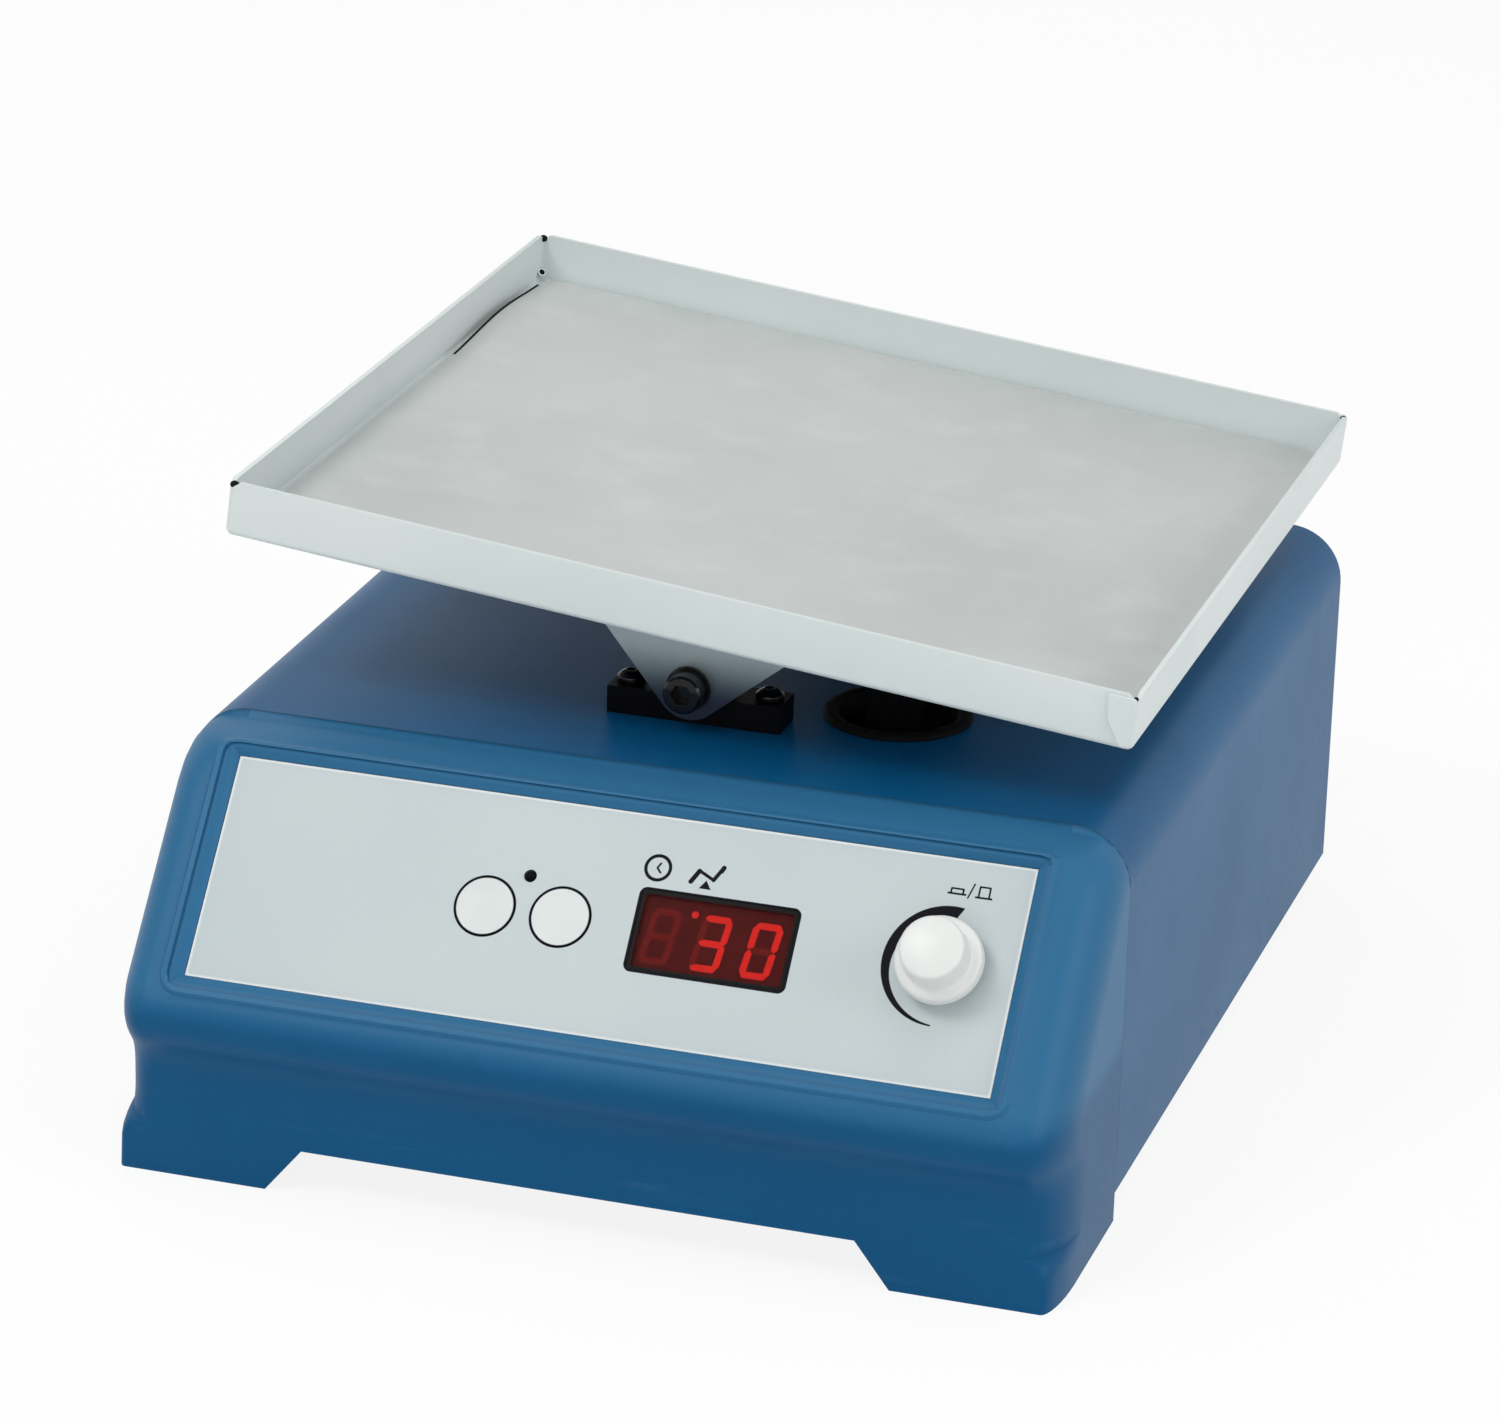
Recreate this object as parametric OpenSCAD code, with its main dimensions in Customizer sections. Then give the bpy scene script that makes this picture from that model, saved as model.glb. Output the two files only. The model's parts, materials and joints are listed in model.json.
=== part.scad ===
// Rocking platform shaker: a geared motor rocks a square tray about a
// front-to-back axis. X points right, Y points to the back and Z points up.
// The origin is on the bench, under the middle of the whole object.
// All lengths are in millimetres and all angles in degrees.

/* [Housing] */
// Width of the housing across its side walls
housing_w = 240; // [200:1:290]
// Height of the housing's top above the bench
housing_h = 102; // [92:0.5:124]
// Length of the housing, from the front moulding's joint to its back face
housing_l = 233.7; // [205:0.1:282]
// Height of the side walls' lower edge above the bench
side_lift = 7.4; // [5:0.1:9]
// Radius of the long top edges
top_round = 14.8; // [9:0.1:18]
// Wall of the housing moulding
wall = 2.5; // [2:0.1:3]
// Thickness of the rear panel
rear_t = 4; // [3:0.5:5]

/* [Front moulding] */
// Wall of the front moulding
front_wall = 3.2; // [2.6:0.1:3.6]
// How far the nose stands out from the joint with the housing
nose_out = 60.7; // [58:0.1:65]
// How far the toes stand out from the joint
toe_out = 56; // [54:0.1:57]
// How far the waist between nose and toes stands out
waist_out = 54.2; // [52:0.1:56]
// Height of the flared pad at the toes
pad_h = 13.1; // [12:0.1:15]
// Height of the cut-out between the toes
arch_h = 11.2; // [8:0.1:11.2]
// Half width of the cut-out at the bench
arch_bottom = 79.4; // [60:0.1:84]
// Half width of the cut-out at its top
arch_top = 70.2; // [50:0.1:72]
// Rise of the raised frame round the control panel
frame_rise = 1.1; // [0.6:0.1:1.4]

/* [Control panel] */
// Lean of the panel back from the bench plane
panel_lean = 50.2; // [46:0.1:54]
// Length of the panel up the slope
panel_l = 57; // [52:0.1:59]
// Blue margin between the panel and each side of the moulding
panel_margin = 18.7; // [17:0.1:26]
// Height of the panel's lower edge above the bench
panel_low = 52.2; // [51.5:0.1:53]
// Diameter of the two push buttons
button_d = 14.6; // [10:0.1:15.2]
// Gap round each push button
button_gap = 0.35; // [0.2:0.05:0.5]
// Inward travel of a push button
button_travel = 0.6; // [0.4:0.1:0.8]
// Diameter of the knob's skirt
knob_d = 21.6; // [18:0.1:23]
// Height of the knob above the panel
knob_h = 15.3; // [12:0.1:18]
// Outward travel of the knob when the mains switch is off
knob_travel = 2; // [1.5:0.1:2.5]
// Width of the display window
window_w = 39; // [37.9:0.1:40]
// Height of the display window up the slope
window_l = 20.2; // [19.2:0.1:21]

/* [Platform] */
// Side of the square tray
tray_side = 232.6; // [195:0.1:280]
// Height of the tray's walls
tray_wall_h = 14.3; // [10:0.1:20]
// Thickness of the tray's sheet
tray_t = 1.2; // [1:0.1:1.5]
// Thickness of the non-slip mat
mat_t = 1.6; // [1:0.1:3]
// Height of the rocking axis above the housing's top
pivot_rise = 10.8; // [10.2:0.1:14]
// Height of the tray's rim above the rocking axis
rim_rise = 34.9; // [30:0.1:42]
// Set-back of each lug from the tray's edge
lug_inset = 24.3; // [15:0.1:40]
// Tilt of the tray as it rests, right side down
tilt_rest = 6.1; // [-7:0.1:7]
// Tilt to each side at the ends of the rocking stroke
tilt_max = 7; // [5:0.5:7]

/* [Drive] */
// Distance of the drive arm from the rocking axis
arm_x = 46; // [42:0.5:54]
// Distance of the drive arm behind the front lug
arm_behind = 27.9; // [25:0.1:42]
// Diameter of the drive opening in the top
opening_d = 34; // [31:0.5:38]
// Depth of the crank's centre below the housing's top
crank_drop = 21; // [20:0.1:25]
// Diameter of the crank roller
roller_d = 6; // [5:0.1:7]
// Diameter of the gearbox
gearbox_d = 37; // [30:0.5:38]
// Diameter of the motor
motor_d = 32; // [24:0.5:34]

/* [Hidden] */
$fn = 48;
fine = 96;           // smoothness of the large visible circles
skin = 0.05;         // clearance of parts that seat on each other
slip = 0.1;          // clearance where a part runs past another
front_facets = 8;    // steps round each front corner of the moulding
arc_steps = 5;       // steps round each bend of the front line

// ---- places ----
tray_overhang = 1;   // tray's back edge behind the housing's back face
inlet_proud = 2.6;   // mains inlet's flange behind the housing's back face
overall_l = nose_out + housing_l + inlet_proud + 0.05;
joint_y = nose_out - overall_l / 2;
back_y = joint_y + housing_l;
tray_y = back_y + tray_overhang - tray_side / 2;
half_w = housing_w / 2;
ceiling = housing_h - wall;
base_z = 11.4;       // underside of the base plate
base_t = 1.2;
base_top = base_z + base_t;

// ---- control panel: its own plane has X to the right, Y up the slope ----
panel_w = housing_w - 2 * panel_margin;
panel_back = 7.8;    // panel's lower edge behind the nose
panel_y = joint_y - nose_out + panel_back;
face_rise = 1.6;     // sloped face of the moulding above the panel
overlay_t = 0.5;
overlay_fit = 0.15;
frame_gap = 3.8;     // bevelled band between the panel and the frame's crest
frame_w = 2.1;
button_y = 28.3;
start_x = -30.8;
mode_x = -11.6;
lamp_x = -21.3;
lamp_y = 37.4;
lamp_d = 3;
window_x = 26.7;
window_y = 28.3;
knob_x = panel_w / 2 - 17.8;
knob_y = 30.1;
board_front = -9.6;  // component face of the control board
board_t = 1.6;
board_l = 46;
board_left = -46;
board_right = 60;
standoff_x = [board_left + 5, board_right - 5];
standoff_y = [8.5, 47.5];

// ---- platform: its own frame is centred on the rocking axis ----
pivot_z = housing_h + pivot_rise;
tray_base = rim_rise - tray_wall_h;
cradle_t = 2;
cradle_w = 63.4;
lug_t = 2;
lug_r = 8.5;
lug_front = tray_y - tray_side / 2 + lug_inset;
lug_back = tray_y + tray_side / 2 - lug_inset;
bush_od = 8;
bush_flange = 1.8;
screw_shoulder = 6;
head_d = 9.9;
head_h = 5.4;
washer_t = 0.6;
block_d = 11.6;
block_w = 45;
block_h = 7.1;
block_screw_x = 18;
block_y = lug_front + lug_t + bush_flange + 2 * skin;

// ---- drive ----
arm_y = lug_front + arm_behind;
arm_t = 2.5;
crank_z = housing_h - crank_drop;
slot_z = crank_z - pivot_z;
throw = arm_x * sin(tilt_max);
crank_rest = 90 * tilt_rest / tilt_max;
open_fit = 0.21 * throw + 0.1;  // play of the roller in the slot, above and below
side_play = throw + abs(slot_z) * sin(tilt_max) + 0.6;
slot_h = roller_d + 2 * open_fit;
slot_l = roller_d + 2 * side_play;
arm_rim = 3;
disc_t = 4;
disc_r = throw + 3.6;
disc_front = arm_y + arm_t / 2 + 0.7;
shaft_d = 6;
bracket_t = 2;
bracket_front = disc_front + disc_t + 3.5;
gearbox_l = 23;
gearbox_drop = 7;    // gearbox axis below its output shaft
gearbox_front = bracket_front + bracket_t;
motor_l = 52;
ear_x = gearbox_d / 2 + 10;
ear_y = gearbox_front + 9;
ear_z = crank_z + 2;

// ---- rear ----
inlet_x = -half_w + 50;
inlet_z = 36;
inlet_w = 27;
inlet_h = 20;
inlet_depth = 18;
inlet_flange_w = 50;
inlet_flange_h = 25;
inlet_screw_x = 20;

// ---- frames and small shapes ----

// Puts its children on the control panel: Z points out of the panel.
module on_panel(x = 0, y = 0, z = 0)
    translate([0, panel_y, panel_low]) rotate([panel_lean, 0, 0]) translate([x, y, z]) children();

// Puts its children on the platform as it rests.
module on_platform() translate([0, 0, pivot_z]) rotate([0, tilt_rest, 0]) children();

// Lays a shape drawn along Z along Y instead, starting at a point.
module along_y(x, y, z) translate([x, y, z]) rotate([-90, 0, 0]) children();

// Solid bar along Y with its outline in X and Z.
module bar_y(y, l) translate([0, y + l, 0]) rotate([90, 0, 0]) linear_extrude(l) children();

module box(x0, x1, y0, y1, z0, z1) translate([x0, y0, z0]) cube([x1 - x0, y1 - y0, z1 - z0]);

// Rounded rectangle, centred.
module round_rect(w, h, r) {
    square([w - 2 * r, h], center = true);
    square([w, h - 2 * r], center = true);
    for (sx = [-1, 1], sy = [-1, 1]) translate([sx * (w / 2 - r), sy * (h / 2 - r)]) circle(r);
}

// Pan-head screw: the head sits on the plane at z = 0 and the shank goes down.
module pan_screw(d, l, head = 0) {
    hd = head > 0 ? head : 2 * d;
    hh = 0.35 * hd;
    difference() {
        union() {
            cylinder(d = hd, h = 0.6 * hh);
            intersection() {
                cylinder(d = hd, h = hh);
                translate([0, 0, hh - 0.9 * hd]) sphere(0.9 * hd);
            }
            translate([0, 0, -l]) cylinder(d = d, h = l + skin);
        }
        translate([0, 0, hh]) cube([0.16 * hd, 0.6 * hd, hh], center = true);
        translate([0, 0, hh]) cube([0.6 * hd, 0.16 * hd, hh], center = true);
    }
}

// ---- housing ----

// Outline of the housing in X and Z: a tunnel with round top edges.
module tunnel(inset, bottom) {
    r = top_round - inset;
    w = half_w - inset;
    top = housing_h - inset;
    translate([-w, bottom]) square([2 * w, top - r - bottom]);
    translate([-w + r, bottom]) square([2 * (w - r), top - bottom]);
    for (s = [-1, 1]) translate([s * (w - r), top - r]) circle(r, $fn = fine);
}

boss_d = 9;
boss_x = half_w - wall - boss_d / 2 + 0.6;
boss_front = joint_y + 24;
boss_back = back_y - rear_t - 22;
boss_h = 16;
rear_boss_x = half_w - wall - 8;
rear_boss_z = [base_top + 14, ceiling - 8];
rear_boss_l = 14;
screw_d = 3;
pilot_d = 3.1;

module housing() color([0.12, 0.34, 0.55]) difference() {
    union() {
        difference() {
            bar_y(joint_y, housing_l - rear_t) tunnel(0, side_lift);
            bar_y(joint_y - 1, housing_l - rear_t + 2) tunnel(wall, side_lift - 1);
        }
        for (s = [-1, 1], y = [boss_front, boss_back])
            translate([s * boss_x, y, base_top + skin]) cylinder(d = boss_d, h = boss_h);
        for (s = [-1, 1], z = rear_boss_z) {
            along_y(s * rear_boss_x, back_y - rear_t - rear_boss_l, z)
                cylinder(d = boss_d, h = rear_boss_l - skin);
            box(min(s * rear_boss_x, s * (half_w - wall / 2)),
                max(s * rear_boss_x, s * (half_w - wall / 2)),
                back_y - rear_t - rear_boss_l, back_y - rear_t - skin, z - 1.2, z + 1.2);
        }
        for (s = [-1, 1])
            translate([arm_x + s * ear_x, ear_y, ear_z + bracket_t + skin])
                cylinder(d = 8, h = ceiling - ear_z - bracket_t);
        for (s = [-1, 1], y = [block_y + block_d / 2, mirror_y(block_y + block_d / 2)])
            translate([s * block_screw_x, y, ceiling - 6]) cylinder(d = 8, h = 6.5);
    }
    translate([arm_x, arm_y, ceiling - 1]) cylinder(d = opening_d, h = wall + 2, $fn = fine);
    for (s = [-1, 1], y = [boss_front, boss_back])
        translate([s * boss_x, y, base_top]) cylinder(d = pilot_d, h = boss_h - 3);
    for (s = [-1, 1], z = rear_boss_z)
        along_y(s * rear_boss_x, back_y - rear_t - 11, z) cylinder(d = pilot_d, h = 12);
    for (s = [-1, 1])
        translate([arm_x + s * ear_x, ear_y, ear_z]) cylinder(d = pilot_d, h = ceiling - ear_z - 1);
    for (s = [-1, 1], y = [block_y + block_d / 2, mirror_y(block_y + block_d / 2)])
        translate([s * block_screw_x, y, ceiling - 7]) cylinder(d = pilot_d, h = wall + 8);
}

// Mirror image of a Y place about the middle of the tray.
function mirror_y(y) = 2 * tray_y - y;

// ---- front moulding ----

// Front line of the moulding seen from the side, from the toe up to the joint:
// [distance in front of the joint, height, radius of the bend].
slope_run = cos(panel_lean) / sin(panel_lean);
face_out = (joint_y - panel_y) + face_rise * sin(panel_lean);
face_z = panel_low + face_rise * cos(panel_lean);
chin_z = 41.8;
chin_out = face_out + (face_z - chin_z) * slope_run;
brow_out = face_out - (housing_h - face_z) * slope_run;
front_bends = [
    [toe_out, 0, 0],
    [toe_out - 0.9, pad_h, 0],
    [waist_out, pad_h + 5.3, 6.3],
    [waist_out, 30.1, 13.7],
    [chin_out, chin_z, 9.5],
    [brow_out, housing_h, 8.5],
    [0, housing_h, 0]];

// Points of one bend, as [height, distance out].
function unit(v) = v / norm(v);
function bend_points(i) =
    let (p = [front_bends[i][0], front_bends[i][1]], r = front_bends[i][2])
    r == 0 ? [[p[1], p[0]]] :
    let (before = [front_bends[i - 1][0], front_bends[i - 1][1]],
         after = [front_bends[i + 1][0], front_bends[i + 1][1]],
         u = unit(before - p),
         v = unit(after - p),
         half = acos(u * v) / 2,
         centre = p + unit(u + v) * r / sin(half),
         a = p + u * r / tan(half) - centre,
         b = p + v * r / tan(half) - centre)
    [for (k = [0:arc_steps])
        let (m = r * unit(a * (arc_steps - k) + b * k))
        [centre[1] + m[1], centre[0] + m[0]]];
front_table = [for (i = [0:len(front_bends) - 2]) each bend_points(i)];

// Distance of the front face from the joint at a height.
function front_out(z) = lookup(z, front_table);

// Depth of the round front corners across the width and along the length.
toe_corner = [3.5, 19];
nose_corner = [10.6, 23.3];
corner_low = 7.9;
function corner_part(z) = let (t = min(1, max(0, (z - corner_low) / (pad_h - corner_low)))) 1
    - sqrt(1 - t * t);
function corner_size(z) = toe_corner + (nose_corner - toe_corner) * corner_part(z);

// Half width at a height: the long top edges are round.
function side_out(z, inset) =
    let (r = top_round - inset, over = z - (housing_h - top_round))
    half_w - inset - (over > 0 ? r - sqrt(max(0, r * r - over * over)) : 0);

// One level of the moulding: an outline with round front corners.
function level(z, inset, back) =
    let (w = side_out(z, inset),
         front = joint_y - front_out(min(housing_h, z + (inset > 0 ? inset * 0.35 : 0))) + inset * 1.15,
         c = [max(1, corner_size(z)[0] - inset * 0.6), min(corner_size(z)[1] - inset, back - front - 1)])
    concat(
        [[w, back, z]],
        [for (k = [0:front_facets]) let (t = 90 * k / front_facets)
            [w - c[0] * (1 - cos(t)), front + c[1] * (1 - sin(t)), z]],
        [for (k = [front_facets:-1:0]) let (t = 90 * k / front_facets)
            [-w + c[0] * (1 - cos(t)), front + c[1] * (1 - sin(t)), z]],
        [[-w, back, z]]);

// Skin through a stack of levels.
module loft(levels) {
    n = len(levels[0]);
    m = len(levels);
    polyhedron(
        points = [for (l = levels) each l],
        faces = concat(
            [[for (i = [n - 1:-1:0]) i]],
            [[for (i = [0:n - 1]) (m - 1) * n + i]],
            [for (j = [0:m - 2], i = [0:n - 1])
                let (k = (i + 1) % n) [j * n + i, (j + 1) * n + k, (j + 1) * n + i]],
            [for (j = [0:m - 2], i = [0:n - 1])
                let (k = (i + 1) % n) [j * n + i, j * n + k, (j + 1) * n + k]]));
}

round_low = housing_h - top_round;
bend_levels = [for (i = [2:4]) each [for (p = bend_points(i)) p[0]]];
slope_levels = [for (k = [1:3]) chin_z + 10 + (round_low - chin_z - 10) * k / 4];
outer_levels = concat(
    [0, corner_low], [for (k = [1:4]) corner_low + (pad_h - corner_low) * sin(90 * k / 4)],
    bend_levels, slope_levels,
    [for (t = [0:15:75]) round_low + top_round * sin(t)], [housing_h]);
inner_levels = concat(
    [-1, pad_h], [for (k = [0:2:len(bend_levels) - 1]) bend_levels[k]], slope_levels, [round_low],
    [for (t = [30, 50, 70, 90]) round_low + (top_round - front_wall) * sin(t)]);

module front_shell() difference() {
    loft([for (z = outer_levels) level(z, 0, joint_y)]);
    loft([for (z = inner_levels) level(z, front_wall, joint_y + 1)]);
}

tongue_l = 6;
tongue_t = 1.8;

module front_bezel() color([0.12, 0.36, 0.57]) difference() {
    union() {
        front_shell();
        // tongue that slides into the housing
        bar_y(joint_y - 3, tongue_l + 3) difference() {
            tunnel(wall + slip, base_top + 4);
            tunnel(wall + slip + tongue_t, base_top + 3);
        }
        // raised frame round the panel
        intersection() {
            on_panel(0, panel_l / 2, face_rise - 1.2) linear_extrude(1.2 + frame_rise) difference() {
                round_rect(panel_w + 2 * (frame_gap + frame_w), panel_l + 2 * (frame_gap + frame_w), 6);
                round_rect(panel_w + 2 * frame_gap, panel_l + 2 * frame_gap, 4);
            }
            box(-half_w, half_w, joint_y - nose_out, joint_y, 0, housing_h);
        }
        // posts for the control board
        for (x = standoff_x, y = standoff_y)
            on_panel(x, y, board_front) cylinder(d = 6, h = -board_front - 1.2);
        // bosses for the base screws
        for (s = [-1, 1])
            translate([s * (half_w - front_wall - boss_d / 2 + 0.6), joint_y - 26, base_top + skin])
                cylinder(d = boss_d, h = boss_h);
    }
    // bevelled band down to the panel
    on_panel(0, panel_l / 2, -overlay_t) bevel_pocket();
    // cut-out between the toes
    bar_y(joint_y - nose_out - 5, nose_out - 10)
        polygon([[-arch_bottom - 0.8, -1], [-arch_top, arch_h], [arch_top, arch_h],
            [arch_bottom + 0.8, -1]]);
    for (x = [start_x, mode_x]) on_panel(x, button_y, -6) cylinder(d = button_d + 2 * button_gap, h = 10);
    on_panel(lamp_x, lamp_y, -6) cylinder(d = lamp_d + 2 * slip, h = 10);
    on_panel(window_x, window_y, -2) cube([window_w + 2 * slip, window_l + 2 * slip, 12], center = true);
    on_panel(window_x, window_y, module_front - 4)
        cube([module_w + 0.4, module_l + 0.4, 8 + 0.2], center = true);
    on_panel(knob_x, knob_y, -8) cylinder(d = bushing_d + 2 * slip, h = 12);
    for (x = standoff_x, y = standoff_y)
        on_panel(x, y, board_front - 1) cylinder(d = 2.6, h = 7);
    for (s = [-1, 1])
        translate([s * (half_w - front_wall - boss_d / 2 + 0.6), joint_y - 26, base_top])
            cylinder(d = pilot_d, h = boss_h - 3);
}

// Pocket with sloping sides that lets the panel into the moulding.
module bevel_pocket() {
    w = panel_w + 2 * overlay_fit;
    l = panel_l + 2 * overlay_fit;
    rise = overlay_t + face_rise + frame_rise + skin;
    grow = frame_gap + 0.2;
    linear_extrude(overlay_t + 0.3) square([w, l], center = true);
    translate([0, 0, overlay_t + 0.2]) hull() {
        linear_extrude(0.1) square([w, l], center = true);
        translate([0, 0, rise]) linear_extrude(0.1) square([w + 2 * grow, l + 2 * grow], center = true);
    }
}

// ---- rear panel, base and feet ----

module rear_panel() color([0.11, 0.31, 0.51]) difference() {
    union() {
        bar_y(back_y - rear_t, rear_t) tunnel(0, side_lift);
        bar_y(back_y - rear_t - 5, 5 + 0.5) difference() {
            tunnel(wall + slip, base_top + 4);
            tunnel(wall + slip + 1.8, base_top + 3);
        }
    }
    // the lining stops short of the screw bosses
    for (s = [-1, 1], z = rear_boss_z) {
        along_y(s * rear_boss_x, back_y - rear_t - 6, z) cylinder(d = boss_d + 2, h = 6);
        box(min(s * rear_boss_x, s * half_w), max(s * rear_boss_x, s * half_w),
            back_y - rear_t - 6, back_y - rear_t, z - 2.2, z + 2.2);
        along_y(s * rear_boss_x, back_y - rear_t - 1, z) cylinder(d = screw_d + 0.4, h = rear_t + 2);
    }
    translate([inlet_x, back_y, inlet_z]) cube([inlet_w + 2 * slip, 4 * rear_t, inlet_h + 2 * slip],
        center = true);
    for (s = [-1, 1])
        along_y(inlet_x + s * inlet_screw_x, back_y - rear_t - 1, inlet_z)
            cylinder(d = pilot_d, h = rear_t + 2);
    // cooling slots
    for (k = [0:6]) translate([half_w - 40 - 7 * k, back_y, 40]) round_slot(3, 24);
}

// Upright slot with round ends through the rear panel.
module round_slot(w, h) {
    cube([w, 4 * rear_t, h - w], center = true);
    for (s = [-1, 1]) translate([0, -2 * rear_t, s * (h - w) / 2]) rotate([-90, 0, 0])
        cylinder(d = w, h = 4 * rear_t);
}

plate_front = joint_y - 32;
plate_back = back_y - rear_t - 0.4;
plate_x = half_w - front_wall - 0.4;
foot_d = 16;
foot_x = half_w - 26;
foot_back = back_y - 26;
foot_front = joint_y - 16;

module base_plate() color([0.72, 0.73, 0.74]) difference() {
    union() {
        box(-plate_x, plate_x, plate_front, plate_back, base_z, base_top);
        // turned-up edges that stiffen the sheet
        for (s = [-1, 1])
            box(min(s * (plate_x - 12), s * (plate_x - 13.2)),
                max(s * (plate_x - 12), s * (plate_x - 13.2)),
                plate_front + 4, plate_back - 8, base_top - skin, base_top + 7);
    }
    for (s = [-1, 1]) {
        for (y = [boss_front, boss_back]) translate([s * boss_x, y, base_z - 1])
            cylinder(d = screw_d + 0.4, h = 4);
        translate([s * (half_w - front_wall - boss_d / 2 + 0.6), joint_y - 26, base_z - 1])
            cylinder(d = screw_d + 0.4, h = 4);
        for (y = [foot_front, foot_back]) translate([s * foot_x, y, base_z - 1]) cylinder(d = 5, h = 4);
    }
    // cooling slots under the motor
    for (k = [0:5]) translate([arm_x - 25 + 10 * k, arm_y + 60, base_z]) cube([4, 40, 6], center = true);
}

// A foot is a rubber button with a neck that snaps through the base plate.
module rubber_foot() {
    rotate_extrude() polygon([[0, 0], [foot_d / 2 - 1.5, 0], [foot_d / 2, 1.5], [foot_d / 2, base_z - 2.5],
        [foot_d / 2 - 2, base_z - skin], [2.4, base_z - skin], [2.4, base_top + skin],
            [3.6, base_top + skin],
        [2.2, base_top + 3.5], [0, base_top + 3.5]]);
}

module rubber_feet() color([0.08, 0.08, 0.09])
    for (s = [-1, 1], y = [foot_front, foot_back]) translate([s * foot_x, y, 0]) rubber_foot();

module base_screws() color([0.62, 0.63, 0.65]) for (s = [-1, 1]) {
    for (y = [boss_front, boss_back]) translate([s * boss_x, y, base_z]) mirror([0, 0, 1])
        pan_screw(screw_d, 12);
    translate([s * (half_w - front_wall - boss_d / 2 + 0.6), joint_y - 26, base_z])
        mirror([0, 0, 1]) pan_screw(screw_d, 12);
}

module rear_screws() color([0.1, 0.1, 0.11]) for (s = [-1, 1], z = rear_boss_z)
    translate([s * rear_boss_x, back_y, z]) rotate([-90, 0, 0]) pan_screw(screw_d, 13);

// ---- control panel ----

module control_overlay() color([0.8, 0.82, 0.82]) on_panel(0, panel_l / 2, -overlay_t + 0.02) difference() {
    linear_extrude(overlay_t - 0.02) square([panel_w, panel_l], center = true);
    for (x = [start_x, mode_x])
        translate([x, button_y - panel_l / 2, -1]) cylinder(d = button_d + 2 * button_gap, h = 3);
    translate([lamp_x, lamp_y - panel_l / 2, -1]) cylinder(d = lamp_d + 2 * slip, h = 3);
    translate([window_x, window_y - panel_l / 2, 0])
        cube([window_w + 2 * slip, window_l + 2 * slip, 6], center = true);
    translate([knob_x, knob_y - panel_l / 2, -1]) cylinder(d = bushing_d + 2 * slip, h = 3);
}

window_t = 1.4;
window_deep = 0.15;
module display_window() color([0.35, 0.03, 0.03]) on_panel(window_x, window_y, -window_deep - window_t / 2)
    cube([window_w, window_l, window_t], center = true);

module_w = 37.7;
module_l = 19;
module_front = -window_deep - window_t - skin;
segment_deep = 0.3;
digit_pitch = 12.65;
digit_w = 7.6;
digit_h = 14.2;
digit_lean = 6;
bar_t = 1.7;
digits_left = 0.6;   // digits stand a little left of and below the middle
digits_low = 0.7;

// Seven-segment digit drawn as separate bars: names of the bars a to g.
module bar_h(x, y) translate([x, y]) polygon([[-digit_w / 2 + 0.5, 0], [-digit_w / 2 + 1.2, bar_t / 2],
    [digit_w / 2 - 1.2, bar_t / 2], [digit_w / 2 - 0.5, 0], [digit_w / 2 - 1.2, -bar_t / 2],
        [-digit_w / 2 + 1.2, -bar_t / 2]]);
module bar_v(x, y) translate([x, y]) polygon([[0, -digit_h / 4 + 0.4], [bar_t / 2, -digit_h / 4 + 1.1],
    [bar_t / 2, digit_h / 4 - 1.1], [0, digit_h / 4 - 0.4], [-bar_t / 2, digit_h / 4 - 1.1],
        [-bar_t / 2, -digit_h / 4 + 1.1]]);
module digit_bars() multmatrix([[1, tan(digit_lean), 0, 0], [0, 1, 0, 0], [0, 0, 1, 0], [0, 0, 0, 1]]) {
    for (y = [-1, 0, 1]) bar_h(0, y * (digit_h - bar_t) / 2);
    for (x = [-1, 1], y = [-1, 1]) bar_v(x * (digit_w - bar_t) / 2, y * (digit_h - bar_t) / 4);
}
module all_bars() {
    for (k = [-1, 0, 1]) translate([k * digit_pitch - digits_left, -digits_low]) digit_bars();
    translate([-digit_pitch / 2 - digits_left + 1, digit_h / 2 - digits_low - 0.5]) circle(0.9);
}

module display_module() color([0.1, 0.08, 0.08]) difference() {
    on_panel(window_x, window_y, board_front + skin) translate([-module_w / 2, -module_l / 2, 0])
        cube([module_w, module_l, module_front - board_front - 2 * skin]);
    on_panel(window_x, window_y, module_front - segment_deep - skin) linear_extrude(1) all_bars();
}

module display_segments() color([0.9, 0.1, 0.05])
    on_panel(window_x, window_y, module_front - segment_deep - skin) linear_extrude(segment_deep - skin)
        all_bars();

flange_t = 1.2;
under_face = face_rise - front_wall;
stem_d = 3.4;
stem_end = board_front + 1;
module push_button(x) on_panel(x, button_y) {
    translate([0, 0, -1.6 - flange_t]) cylinder(d = button_d, h = flange_t + 1.6 + 0.1);
    translate([0, 0, -3.5 - flange_t]) cylinder(d = button_d + 2.4, h = flange_t);
    translate([0, 0, -3.5]) cylinder(d = button_d - 0.4, h = 2);
    translate([0, 0, stem_end]) cylinder(d = stem_d, h = -stem_end - 3);
}
module start_button() color([0.84, 0.85, 0.85]) push_button(start_x);
module mode_button() color([0.84, 0.85, 0.85]) push_button(mode_x);

switch_w = 6.2;
switch_h = 3.4;
module button_switches() color([0.15, 0.15, 0.16]) for (x = [start_x, mode_x])
    on_panel(x, button_y, board_front + skin) difference() {
        translate([-switch_w / 2, -switch_w / 2, 0]) cube([switch_w, switch_w, switch_h]);
        translate([0, 0, 0.2]) cylinder(d = stem_d + 0.16, h = switch_h);
    }

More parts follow.
